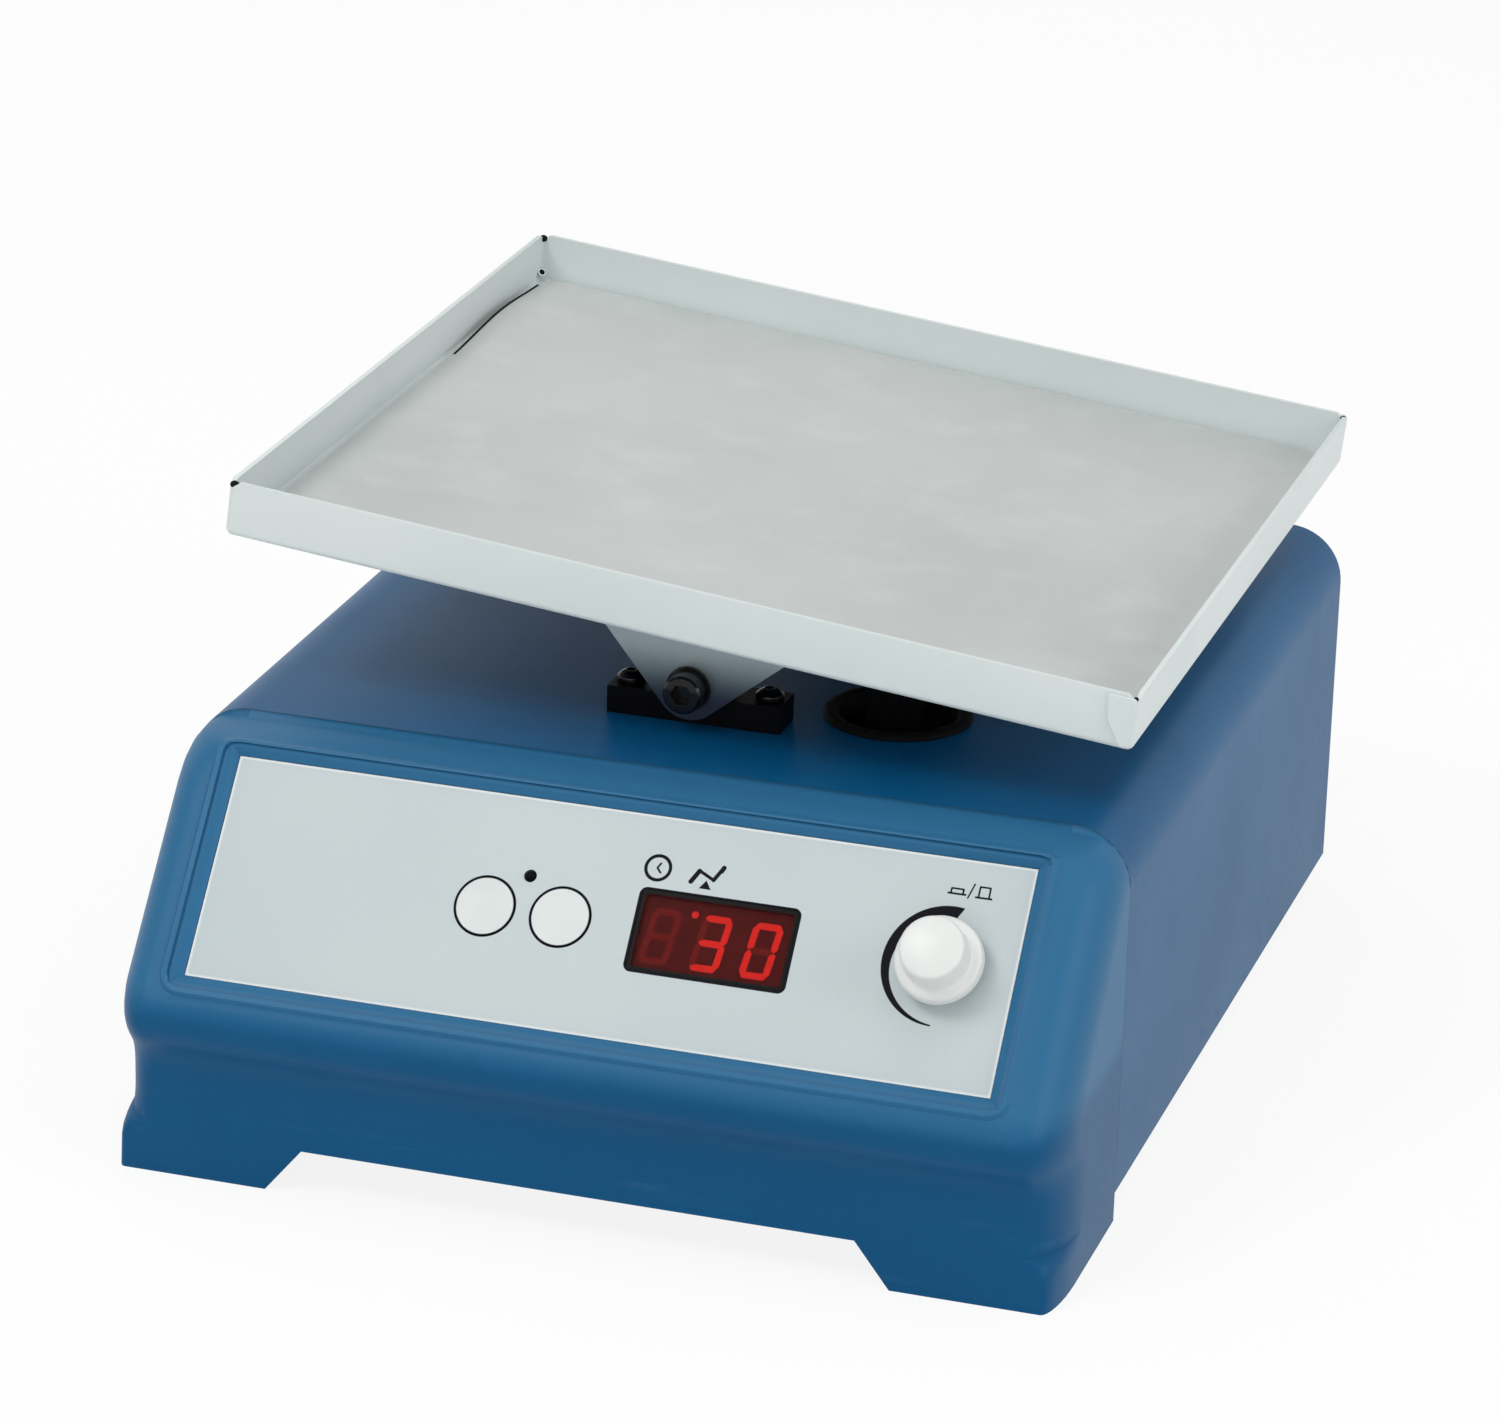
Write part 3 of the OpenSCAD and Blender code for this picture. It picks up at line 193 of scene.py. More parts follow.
def housingBlue(s):
    f = Finish("housingBlue", specular=s["specular"])
    cloud = f.noise(s["cloudScale"], 4, 0.6)
    dust = f.noise(s["dustScale"], 3, 0.7)
    base = f.mix(cloud.ramp(0.3, 0.72), linear(*s["color"]), linear(*s["shade"]))
    base = f.mix(dust.ramp(0.55, 0.8) * 0.35, base, linear(*s["dust"]))
    y, z = f.split()[1:]
    # painted shade: a dark line along the joint between the housing and the bezel
    jointShade = (y - s["seamPlace"]).size().below(s["seamWidth"], 0.0002) * z.above(s["footTop"], 0.001)
    base = f.mix(jointShade * s["seamShadeShare"], base, linear(*s["seamShadeColor"]))
    front = y.below(s["seamPlace"], 0.001)  # the sloped face is painted paler than the face below it, a painted sheen
    slopeSheen = front * z.above(s["slopeLow"], s["slopeSoft"]) * z.below(s["slopeHigh"], 0.0015)
    # painted shade: the faces below the slope are darker
    underShade = front * z.below(s["slopeLow"], s["slopeSoft"])
    base = f.mix(underShade * s["underShadeShare"], base, linear(*s["underShadeColor"]))
    base = f.mix(slopeSheen * s["slopeSheenShare"], base, linear(*s["slopeSheenColor"]))
    scuff = f.noise(70, 5, 0.75, f.stretched((0.25, 1.0, 3.0)))
    low = z.below(s["footTop"], s["scuffSoft"]) * scuff.ramp(0.56, 0.7)
    f.set(baseColor=f.mix(low * s["scuffShare"], base, linear(*s["scuffColor"])))
    f.set(roughness=0.36 + cloud * 0.08 + low * 0.15 + dust.ramp(0.5, 0.8) * 0.05)
    f.bump(f.cells(1500) * 0.6 + f.noise(2600, 2, 0.6) * 0.5, 0.00004, 0.4)
    return f.material


def metalSheet(name, color, spangle=0.2, gloss=0.34):
    f = Finish(name, metallic=1.0)
    base = linear(*color)
    cloud = f.noise(35, 5, 0.65)
    dark = tuple(v * 0.72 for v in base[:3]) + (1.0,)
    f.set(baseColor=f.mix(cloud.ramp(0.3, 0.7), base, dark))
    f.set(roughness=gloss + f.cells(320) * spangle + cloud * 0.08)
    f.bump(f.noise(900, 3, 0.6), 0.00003, 0.35)
    return f.material


def blackOxide(color, worn):
    f = Finish("blackOxide", specular=0.12, coatWeight=0.4, coatRoughness=0.05)
    rub = f.noise(900, 3, 0.8)
    f.set(baseColor=f.mix(rub.ramp(0.6, 0.8), linear(*color), linear(*worn)))
    f.set(roughness=0.2 + f.noise(260, 4, 0.7) * 0.18)
    f.bump(f.noise(2200, 2, 0.5), 0.00002, 0.3)
    return f.material


def blackBlock(color, second):  # milled, with fine lines across
    f = Finish("blackBlock", specular=0.08)
    cloud = f.noise(120, 4, 0.6)
    f.set(baseColor=f.mix(cloud.ramp(0.35, 0.75), linear(*color), linear(*second)))
    f.set(roughness=0.34 + cloud * 0.12)
    f.bump(f.noise(500, 2, 0.5, f.stretched((1.0, 14.0, 1.0))), 0.00004, 0.3)
    return f.material


def blackRubber(color, dull):
    f = Finish("blackRubber", specular=0.1)
    bloom = f.noise(700, 4, 0.7)
    f.set(baseColor=f.mix(bloom.ramp(0.5, 0.8) * 0.4, linear(*color), linear(*dull)))
    f.set(roughness=0.62 + f.noise(90, 4, 0.6) * 0.2)
    f.bump(f.noise(1800, 3, 0.7), 0.00006, 0.5)
    return f.material


def moulded(name, color, second, gloss, **fixed):
    f = Finish(name, **fixed)
    cloud = f.noise(60, 4, 0.6)
    fine = f.noise(800, 3, 0.7)
    f.set(baseColor=f.mix(cloud.ramp(0.3, 0.75), linear(*color), linear(*second)))
    f.set(roughness=gloss + cloud * 0.08 + fine.ramp(0.55, 0.8) * 0.1)
    f.bump(f.noise(2400, 2, 0.6), 0.00003, 0.35)
    return f.material


def palePaint(color, second):  # with a slight orange peel
    f = Finish("palePaint")
    cloud = f.noise(14, 4, 0.6)
    f.set(baseColor=f.mix(cloud.ramp(0.3, 0.75), linear(*color), linear(*second)))
    f.set(roughness=0.42 + cloud * 0.08 + f.noise(420, 3, 0.7) * 0.06)
    f.bump(f.noise(650, 2, 0.55) + f.noise(2400, 2, 0.5) * 0.4, 0.00008, 0.3)
    return f.material


def lugSheet(s):  # plated sheet whose lower tips carry a painted reflection of the dark blue housing
    f = Finish("lugSheet", metallic=0.6, specular=0.3)
    height = (f.split()[2] - pivot.z) / mm
    cloud = f.noise(40, 4, 0.6)
    # painted reflection: the lower tips darken towards the housing's dark blue grey
    tip = (height + cloud * 3).ramp(s["reflectionFullHeight"], s["clearHeight"], 1.0, 0.0)
    base = f.mix(cloud.ramp(0.3, 0.75), linear(*s["color"]), linear(*s["shade"]))
    f.set(baseColor=f.mix(tip * s["tipShare"], base, linear(*s["tip"])))
    f.set(roughness=0.3 + cloud * 0.1 + f.noise(420, 3, 0.7) * 0.06)
    f.bump(f.noise(650, 2, 0.55) + f.noise(2400, 2, 0.5) * 0.4, 0.00006, 0.3)
    return f.material


def bushBronze(color, dull):
    f = Finish("bushBronze", metallic=1.0)
    cloud = f.noise(300, 4, 0.7)
    f.set(baseColor=f.mix(cloud.ramp(0.3, 0.8), linear(*color), linear(*dull)))
    f.set(roughness=0.35 + cloud * 0.2)
    f.bump(f.noise(3000, 2, 0.6), 0.00002, 0.4)
    return f.material


def circuitGreen(color, track):
    f = Finish("circuitGreen")
    copper = f.noise(160, 2, 0.3, f.stretched((1.0, 6.0, 1.0))).ramp(0.5, 0.53)
    f.set(baseColor=f.mix(copper * 0.5, linear(*color), linear(*track)))
    f.set(roughness=0.3 + f.noise(90, 3, 0.6) * 0.15)
    f.bump(copper, 0.00005, 0.4)
    return f.material


class Marks:  # drawn on the panel: x runs right and y runs up the slope, in millimetres
    def __init__(self, finish):
        self.x = finish.dot(panelRight) / mm - panelCorner.dot(panelRight) / mm
        self.y = finish.dot(panelUp) / mm - panelCorner.dot(panelUp) / mm

    def reach(self, center):
        dx, dy = self.x - center[0], self.y - center[1]
        return (dx * dx + dy * dy).power(0.5)

    def ring(self, center, radius, line, soft=0.06):
        return (self.reach(center) - radius).size().below(line / 2, soft)

    def stroke(self, start, end, line, soft=0.06):
        dx, dy = end[0] - start[0], end[1] - start[1]
        length = math.hypot(dx, dy)
        along = (self.x - start[0]) * (dx / length) + (self.y - start[1]) * (dy / length)
        along = along.most(0).least(length)
        ox = self.x - start[0] - along * (dx / length)
        oy = self.y - start[1] - along * (dy / length)
        return (ox * ox + oy * oy).power(0.5).below(line / 2, soft)

    def plate(self, center, width, length, radius, soft=0.06):  # rounded rectangle
        qx = ((self.x - center[0]).size() - (width / 2 - radius)).most(0)
        qy = ((self.y - center[1]).size() - (length / 2 - radius)).most(0)
        return (qx * qx + qy * qy).power(0.5).below(radius, soft)

    def wedge(self, tip, width, height, soft=0.06):  # solid triangle under its tip
        down = tip[1] - self.y
        inside = (self.x - tip[0]).size() - down * (width / 2 / height)
        return inside.below(0, soft) * down.below(height, soft)

    def sweep(self, center, s, soft=0.08):  # arc that thickens clockwise from six o'clock
        dx, dy = self.x - center[0], self.y - center[1]
        angle = (-dx).maths("ARCTAN2", -dy).maths("WRAP", 2 * math.pi - s["wrap"], -s["wrap"])
        part = angle / math.radians(s["turn"])
        depth = s["thin"] + part.most(0).power(s["swell"]) * (s["thick"] - s["thin"])
        reach = (dx * dx + dy * dy).power(0.5)
        body = reach.below(s["outer"], soft) * (reach + depth).above(s["outer"], soft) * angle.above(0, 0.01)
        cut = (dx - s["endRight"] - (dy - s["endUp"]) * s["endSlant"]).below(0, soft)
        nearEnd = dy.above(0, 0.1) * angle.above(math.radians(s["endFrom"]), 0.01)
        return body * (1 - (1 - cut) * nearEnd) * angle.below(math.radians(s["stop"]), 0.01)


signSettings = {  # millimetres on the panel
    "buttonRing": 7.68, "buttonLine": 0.26,
    "sweep": {"outer": 15.0, "thin": 0.35, "thick": 4.2, "turn": 190, "swell": 0.9, "wrap": 1.2, "stop": 200,
              "endRight": 0.3, "endUp": 11, "endSlant": 0.55, "endFrom": 162},
    "clockRadius": 3.05, "clockLine": 0.85, "clockHands": (((0.5, 1.2), (-0.2, 0)), ((-0.2, 0), (0.8, -1.1))),
    "handLine": 0.5,
    "rocking": (((18.3, 41.8), (19.9, 44.7), 1.2), ((19.9, 44.8), (23.8, 42.9), 0.8),
                ((23.8, 42.9), (25.6, 46.2), 1.0), ((25.3, 45.4), (25.7, 46.3), 1.2)),
    "rockingPivot": ((22.1, 42.6), 3.0, 2.2),
    "switch": (((83.1, 48.9), 3.4, 1.7), ((89.7, 49.4), 3.0, 3.1)), "switchLine": 0.9, "switchFoot": 0.5,
    "switchFootRise": 0.2, "switchCorner": 0.3, "switchReach": 0.4,
    "slash": ((85.9, 47.6), (87.0, 51.2), 0.4), "windowFrame": ((26.75, 28.2), 40.6, 21.5, 2.0)}


def printedInk(m, s, signs):
    button = [m.ring(s[name], signs["buttonRing"], signs["buttonLine"]) for name in ("start", "mode")]
    clock = s["clock"]
    marks = button + [m.sweep(s["knob"], signs["sweep"])]
    marks.append(m.ring(clock, signs["clockRadius"], signs["clockLine"]))
    for hand in signs["clockHands"]:
        start, end = ((clock[0] + x, clock[1] + y) for x, y in hand)
        marks.append(m.stroke(start, end, signs["handLine"]))
    marks += [m.stroke(start, end, line) for start, end, line in signs["rocking"]]
    marks.append(m.wedge(*signs["rockingPivot"]))
    line, reach, corner = signs["switchLine"], signs["switchReach"], signs["switchCorner"]
    for (cx, cy), width, height in signs["switch"]:
        hollow = m.plate((cx, cy), width - line, height - line, corner / 2)
        marks.append(m.plate((cx, cy), width, height, corner) * (1 - hollow))
        foot = cy - height / 2 + signs["switchFootRise"]
        left, right = (cx - width / 2 - reach, foot), (cx + width / 2 + reach, foot)
        marks.append(m.stroke(left, right, signs["switchFoot"]))
    marks += [m.stroke(*signs["slash"]), m.plate(*signs["windowFrame"])]
    ink = marks[0]
    for mark in marks[1:]:
        ink = ink.most(mark)
    return ink


def panelFilm(s, signs):
    f = Finish("panelFilm", specular=0.05)
    m = Marks(f)
    cloud = f.noise(12, 3, 0.5)
    flake = f.noise(1400, 2, 0.8)
    base = f.mix(cloud.ramp(0.3, 0.75), linear(*s["film"]), linear(*s["filmShade"]))
    base = f.mix(flake.ramp(0.55, 0.8) * 0.12, base, linear(*s["flake"]))
    middle = (0, s["length"] / 2)
    field = m.plate(middle, s["width"] - s["cutEdge"], s["length"] - s["cutEdge"], 0.6, 0.25)
    base = f.mix((1 - field) * 0.7, base, linear(*s["edgeColor"]))
    ink = printedInk(m, s, signs)
    f.set(baseColor=f.mix(ink, base, linear(*s["ink"])))
    f.set(roughness=0.4 + cloud * 0.1 - ink * 0.08)
    f.bump(f.noise(1500, 2, 0.6) + (1 - ink) * 0.6, 0.00003, 0.3)
    return f.material


def redFilter(s):
    f = Finish("redFilter", specular=0.025)
    m = Marks(f)
    clear = m.plate(*s["clearPlate"], 0.1)
    haze = f.noise(60, 3, 0.6)
    red = f.mix(haze.ramp(0.3, 0.7), linear(*s["filter"]), linear(*s["filterShade"]))
    f.set(baseColor=f.mix(clear, linear(*s["border"]), red))
    f.set(alpha=1 - clear * s["clearness"])
    f.set(roughness=0.12 + haze * 0.06)
    f.bump(f.noise(300, 2, 0.5), 0.00001, 0.2)
    return f.material


def segmentGlow(name, s, state):
    f = Finish(name, emissionStrength=s[state + "Level"], specular=0.05)
    shade = f.noise(350, 2, 0.5)
    f.set(baseColor=f.mix(shade.ramp(0.3, 0.7), linear(*s["bar"]), linear(*s["barShade"])))
    full = linear(*s[state])
    f.set(emissionColor=f.mix(shade.ramp(0.3, 0.8), full, tuple(v * 0.86 for v in full[:3]) + (1.0,)))
    f.set(roughness=0.4 + shade * 0.1)
    return f.material


def buttonCap(s):
    f = Finish("buttonCap", specular=0.3)
    m = Marks(f)
    cloud = f.noise(80, 4, 0.6)
    rub = f.noise(600, 3, 0.7)
    base = f.mix(cloud.ramp(0.3, 0.75), linear(*s["cap"]), linear(*s["capShade"]))
    # painted shade of the gap around each cap, on the cap's outer edge
    gapShade = m.reach(s["start"]).above(s["capRadius"], 0.08) * m.reach(s["mode"]).above(s["capRadius"], 0.08)
    f.set(baseColor=f.mix(gapShade, base, linear(*s["capGap"])))
    f.set(roughness=0.36 + cloud * 0.08 + rub.ramp(0.55, 0.8) * 0.1)
    f.bump(f.noise(2400, 2, 0.6), 0.00003, 0.35)
    return f.material


def displayFace(s):
    f = Finish("displayFace", specular=0.05)
    grain = f.noise(500, 3, 0.6)
    f.set(baseColor=f.mix(grain.ramp(0.3, 0.7), linear(*s["face"]), linear(*s["faceShade"])))
    f.set(roughness=0.45 + grain * 0.1)
    return f.material


def matSheet(s):
    f = Finish("matSheet", specular=0.35)
    broad = f.noise(s["patchScale"], 4, 0.55)
    cloud = f.noise(45, 4, 0.6)
    fleck = f.noise(900, 3, 0.75)
    base = f.mix(broad.ramp(0.3, 0.72), linear(*s["color"]), linear(*s["patch"]))
    base = f.mix(cloud.ramp(0.45, 0.75) * 0.4, base, linear(*s["light"]))
    f.set(baseColor=f.mix(fleck.ramp(0.58, 0.8) * 0.3, base, linear(*s["fleck"])))
    f.set(roughness=0.46 + broad * 0.12 + fleck * 0.08)
    f.bump(f.noise(700, 3, 0.7) + f.cells(1200) * 0.5, 0.00009, 0.35)
    return f.material


housingSettings = {
    "color": (3, 84, 130), "shade": (2, 78, 123), "dust": (22, 100, 142), "specular": 0.14,
    "cloudScale": 18, "dustScale": 240, "footTop": 0.016,
    # the seam shade colour paints the shade of the joint between housing and bezel
    "seamShadeColor": (2, 24, 46), "seamPlace": -0.087825, "seamWidth": 0.0004, "seamShadeShare": 0.75,
    # the slope sheen colour is a painted sheen on the sloped face
    "slopeSheenColor": (46, 104, 143), "slopeLow": 0.0465, "slopeHigh": 0.1025, "slopeSoft": 0.005,
    # the under shade colour is painted shade on the faces below the slope
    "slopeSheenShare": 0.9, "underShadeColor": (1, 76, 118), "underShadeShare": 0.6,
    "scuffColor": (70, 116, 146), "scuffSoft": 0.012, "scuffShare": 0.3,
    "edge": 0.0007, "panelEdge": 0.0005, "rearEdge": 0.0006,
    "browStart": 0.0006, "browDrop": 0.0016, "browLow": 0.0985, "browTop": 0.102,
    "frameWidth": 214.4, "frameLength": 68.8, "frameCorner": 6.0, "frameBand": 0.3,
    "frameLow": 2.2, "frameHigh": 3.2, "frameLean": 0.8}  # the frame's sizes are in millimetres
lugSettings = {"color": (152, 165, 167), "shade": (140, 154, 157),  # heights in millimetres over the pivot
               # tip is the colour of a painted reflection of the dark housing on the lower tips
               "tip": (24, 34, 56), "reflectionFullHeight": -2.0, "clearHeight": 13.0, "tipShare": 0.92}
displaySettings = {
    "filter": (84, 13, 11), "filterShade": (76, 11, 10), "border": (5, 5, 8), "clearness": 0.72,
    "clearPlate": ((26.8, 28.2), 37.4, 18.4, 0.9), "face": (94, 22, 17), "faceShade": (78, 17, 13),
    "bar": (70, 12, 10), "barShade": (60, 10, 8),
    # rest and restLevel make the unlit bars glow faintly, a painted glow
    "lit": (255, 42, 34), "litLevel": 1.1, "rest": (120, 24, 17), "restLevel": 0.75}
panelSettings = dict(
    panelLayout, film=(195, 204, 205), filmShade=(190, 200, 202), flake=(240, 244, 244), ink=(3, 3, 12),
    cutEdge=1.1, edgeColor=(232, 236, 236), cap=(208, 214, 212), capShade=(202, 209, 207),
    # the cap gap shade colour paints the shade of the gap around the caps
    capRadius=7.08, capGap=(12, 16, 26))
matSettings = {
    "color": (188, 192, 191), "patch": (178, 183, 182), "light": (201, 205, 204), "fleck": (214, 218, 217),
    "patchScale": 9, "margin": 0.003, "thick": 0.0016, "skin": 0.00005, "cornerRadius": 0.006, "edge": 0.0003,
    "grid": 40, "lift": 0.0021, "liftReach": 0.016, "liftMiddle": 0.072, "liftHalf": 0.04,
    # the edge shadow keys place a strip of painted shadow along the lifted edge
    "wornFrom": 0.036, "wornTo": 0.104, "edgeShadowSteps": 40, "edgeShadowWidth": 0.0006, "wornSkin": 0.00006,
    "edgeShadowThick": 0.0001}

print("finishes")
finishes = {
    "housing_blue": housingBlue(housingSettings),
    "zinc_sheet": metalSheet("zincSheet", (178, 182, 186)),
    "black_rubber": blackRubber((10, 10, 11), (30, 30, 30)),
    "zinc_screw": metalSheet("brightScrew", (198, 200, 202), 0.06, 0.26),
    "black_screw": blackOxide((4, 4, 7), (22, 22, 25)),
    "black_plastic": moulded("blackPlastic", (20, 20, 22), (30, 30, 32), 0.4),
    "pale_plastic": moulded("palePlastic", (206, 214, 214), (201, 210, 211), 0.42),
    "white_plastic": moulded("whitePlastic", (224, 226, 224), (218, 220, 218), 0.3, specular=0.35),
    "board_green": circuitGreen((20, 82, 46), (44, 118, 66)),
    "dark_steel": metalSheet("darkSteel", (96, 98, 102), 0.05, 0.4),
    "plated_brass": metalSheet("platedPins", (206, 202, 188), 0.05, 0.25),
    "pale_paint": palePaint((212, 220, 219), (206, 215, 214)),
    "grey_mat": matSheet(matSettings),
    "grey_sheet": lugSheet(lugSettings),
    "bush_bronze": bushBronze((190, 150, 96), (132, 98, 60)),
    "black_block": blackBlock((4, 4, 8), (9, 9, 14)),
    "zinc_casting": metalSheet("zincCasting", (150, 152, 156), 0.15, 0.45),
    "grey_film": panelFilm(panelSettings, signSettings),
    "button_cap": buttonCap(panelSettings),
    "red_filter": redFilter(displaySettings),
    "lit_segments": segmentGlow("litSegments", displaySettings, "lit"),
}
# the unlit bars get a faint painted glow
paintedGlowSegments = segmentGlow("paintedGlowSegments", displaySettings, "rest")
for name, piece in nodes.items():
    piece.data.materials.clear()
    piece.data.materials.append(finishes[slotOf[name]])
nodes["display_module"].data.materials[0] = displayFace(displaySettings)
lampLens = moulded("lampLens", (4, 4, 6), (9, 8, 11), 0.2, specular=0.05)
nodes["indicator_lamp"].data.materials[0] = lampLens


# stage, light and camera

cameraSettings = {"azimuth": 16.94, "elevation": 20.9, "roll": 1.6, "lens": 146.54,
                  "place": (0.42414, -1.40168, 0.64393), "clip": (0.05, 50)}
stageSettings = {"floor": 9.0, "dome": 0.42, "floorWhite": 0.87, "paper": (0.96, 0.96, 0.96, 1),
                 "paperShade": (0.93, 0.93, 0.93, 1), "white": (1, 1, 1, 1)}
lampSettings = {  # place, aim, size and power
    "keyLamp": ((0.4, -0.1, 2.4), (0, 0, 0.08), (1.5, 1.5), 10.0),
    "frontLamp": ((0.2, -2.4, 0.8), (0, 0, 0.08), (1.6, 0.9), 7.5),
    "sheenLamp": ((-0.9, -1.3, 2.0), (0, 0, 0.08), (0.8, 0.8), 19.0),
    "fillLamp": ((1.9, -0.3, 0.9), (0, 0, 0.08), (1.4, 1.2), 13.0),
    "rimLamp": ((-0.9, 1.2, 1.7), (0, 0, 0.1), (1.2, 1.0), 5.0)}


def makeCamera(s):
    a, e, r = (math.radians(s[name]) for name in ("azimuth", "elevation", "roll"))
    back = Vector((math.sin(a) * math.cos(e), -math.cos(a) * math.cos(e), math.sin(e)))
    right = Vector((math.cos(a), math.sin(a), 0))
    up = back.cross(right)
    turnedRight = right * math.cos(r) + up * math.sin(r)
    turnedUp = up * math.cos(r) - right * math.sin(r)
    data = bpy.data.cameras.new("camera")
    data.lens, data.sensor_width = s["lens"], 36.0
    data.clip_start, data.clip_end = s["clip"]
    camera = bpy.data.objects.new("camera", data)
    bpy.context.scene.collection.objects.link(camera)
    turn = Matrix((turnedRight, turnedUp, back)).transposed().to_4x4()
    camera.matrix_world = Matrix.Translation(Vector(s["place"])) @ turn
    bpy.context.scene.camera = camera


def seenRays(f):  # 1 for what the camera, a reflection or a clear piece sees
    node = f.tree.nodes.new("ShaderNodeLightPath")
    rays = [Wire(f, node.outputs[name]) for name in ("Is Camera Ray", "Is Glossy Ray", "Is Transmission Ray")]
    return rays[0].most(rays[1]).most(rays[2])


def areaLamp(name, place, aim, size, power):
    data = bpy.data.lights.new(name, "AREA")
    data.shape, data.size, data.size_y = "RECTANGLE", size[0], size[1]
    data.energy = power
    lamp = bpy.data.objects.new(name, data)
    bpy.context.scene.collection.objects.link(lamp)
    lamp.location = place
    lamp.rotation_euler = (Vector(aim) - Vector(place)).to_track_quat("-Z", "Y").to_euler()


def makeStage(s):
    world = bpy.data.worlds.new("studio")
    world.use_nodes = True
    bpy.context.scene.world = world
    sky = Shading(world.node_tree)
    level = seenRays(sky) * (1.0 - s["dome"]) + s["dome"]
    light = sky.add("ShaderNodeBackground", {}, {"Color": s["white"], "Strength": level})
    sky.add("ShaderNodeOutputWorld", {}, {"Surface": light}, None)

    mesh = bpy.data.meshes.new("floor")
    shape = bmesh.new()
    bmesh.ops.create_grid(shape, x_segments=2, y_segments=2, size=s["floor"])
    shape.to_mesh(mesh)
    shape.free()
    floor = bpy.data.objects.new("floor", mesh)
    bpy.context.scene.collection.objects.link(floor)
    paper = Finish("floorPaper", roughness=0.9, specular=0.1)
    paper.set(baseColor=paper.mix(paper.noise(3, 2), s["paper"], s["paperShade"]))
    white = paper.add("ShaderNodeEmission", {}, {"Color": s["white"], "Strength": 1.0})
    share = seenRays(paper) * s["floorWhite"]
    lit = Wire(paper, paper.shader.outputs[0])
    mixed = paper.add("ShaderNodeMixShader", {}, {0: share, 1: lit, 2: white})
    paper.tree.links.new(mixed.socket, paper.output.inputs[0])
    floor.data.materials.append(paper.material)


print("stage, light and camera")
makeCamera(cameraSettings)
makeStage(stageSettings)
for name, (place, aim, size, power) in lampSettings.items():
    areaLamp(name, place, aim, size, power)
bpy.context.scene.view_settings.view_transform = "Standard"


# helpers for new pieces

def finishedPiece(name, shape, body, slot, material=None, angle=35, replaced=()):
    mesh = bpy.data.meshes.new(name)
    shape.to_mesh(mesh)
    shape.free()
    mesh.shade_smooth()
    mesh.set_sharp_from_angle(angle=math.radians(angle))
    piece = bpy.data.objects.new(name, mesh)
    bpy.context.scene.collection.objects.link(piece)
    mesh.materials.append(material or finishes[slot])
    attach(piece, body)
    if replaced:
        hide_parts(*replaced)
    return piece


def camel(node):
    first, *rest = node.split("_")
    return first + "".join(word.capitalize() for word in rest)


def easeEdges(piece, width, segments=2, angle=50):
    bevel = piece.modifiers.new("easedEdges", "BEVEL")
    bevel.width, bevel.segments = width, segments
    bevel.limit_method, bevel.angle_limit = "ANGLE", math.radians(angle)
    bevel.harden_normals = True
    bevel.use_clamp_overlap = True


def mergedCopy(node):
    shape = bmesh.new()
    shape.from_mesh(nodes[node].data)
    bmesh.ops.remove_doubles(shape, verts=shape.verts, dist=2e-6)
    bmesh.ops.dissolve_limit(shape, angle_limit=math.radians(0.3), verts=shape.verts, edges=shape.edges)
    return shape


def softened(node, width, segments=2, slot=None, material=None, angle=40, smooth=35):
    # the node's own shape with its edges eased, as moulded and machined edges are
    piece = finishedPiece(camel(node) + "Shape", mergedCopy(node), nodes[node]["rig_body"],
                          slot or slotOf[node], material, smooth, [node])
    if width:
        easeEdges(piece, width, segments, angle)
    return piece


def softenedAll(pieces):
    for node, (width, segments, *slot) in pieces.items():
        softened(node, width, segments, *slot)


def onPlatform(shape):  # from the platform's own space to where it rests
    bmesh.ops.transform(shape, matrix=platformSpace, verts=shape.verts)


def thickened(piece, thickness, offset=-1, even=False):
    wall = piece.modifiers.new("thickness", "SOLIDIFY")
    wall.thickness, wall.offset, wall.use_even_offset = thickness, offset, even


def roundEdges(shape, edges, radius, segments=3):
    bmesh.ops.bevel(shape, geom=edges, offset=radius, offset_type="OFFSET", affect="EDGES",
                    segments=segments, profile=0.5, material=-1, clamp_overlap=True)


# moulded housing

def fallingBrow(shape, s):
    # the moulding falls away in front of its joint with the housing
    for vert in shape.verts:
        if vert.co.y < s["seamPlace"] - s["browStart"] and vert.co.z > s["browLow"]:
            rise = (vert.co.z - s["browLow"]) / (s["browTop"] - s["browLow"])
            vert.co.z -= s["browDrop"] * rise * rise * (3 - 2 * rise)


def slopedFrame(shape, s):
    # the raised frame's outer wall leans in towards its crest
    toPanel = panelSpace.inverted()
    center = Vector((0, panelLayout["length"] / 2))
    reach = Vector((s["frameWidth"], s["frameLength"])) / 2 - Vector((s["frameCorner"], s["frameCorner"]))
    for vert in shape.verts:
        place = toPanel @ vert.co / mm
        if not s["frameLow"] < place.z < s["frameHigh"]:
            continue
        off = Vector((place.x, place.y)) - center
        past = Vector((max(0, abs(off.x) - reach.x), max(0, abs(off.y) - reach.y)))
        if abs(past.length - s["frameCorner"]) < s["frameBand"]:
            inward = past * (s["frameLean"] / past.length)
            place.x -= math.copysign(inward.x, off.x)
            place.y -= math.copysign(inward.y, off.y)
            vert.co = panelSpace @ (place * mm)


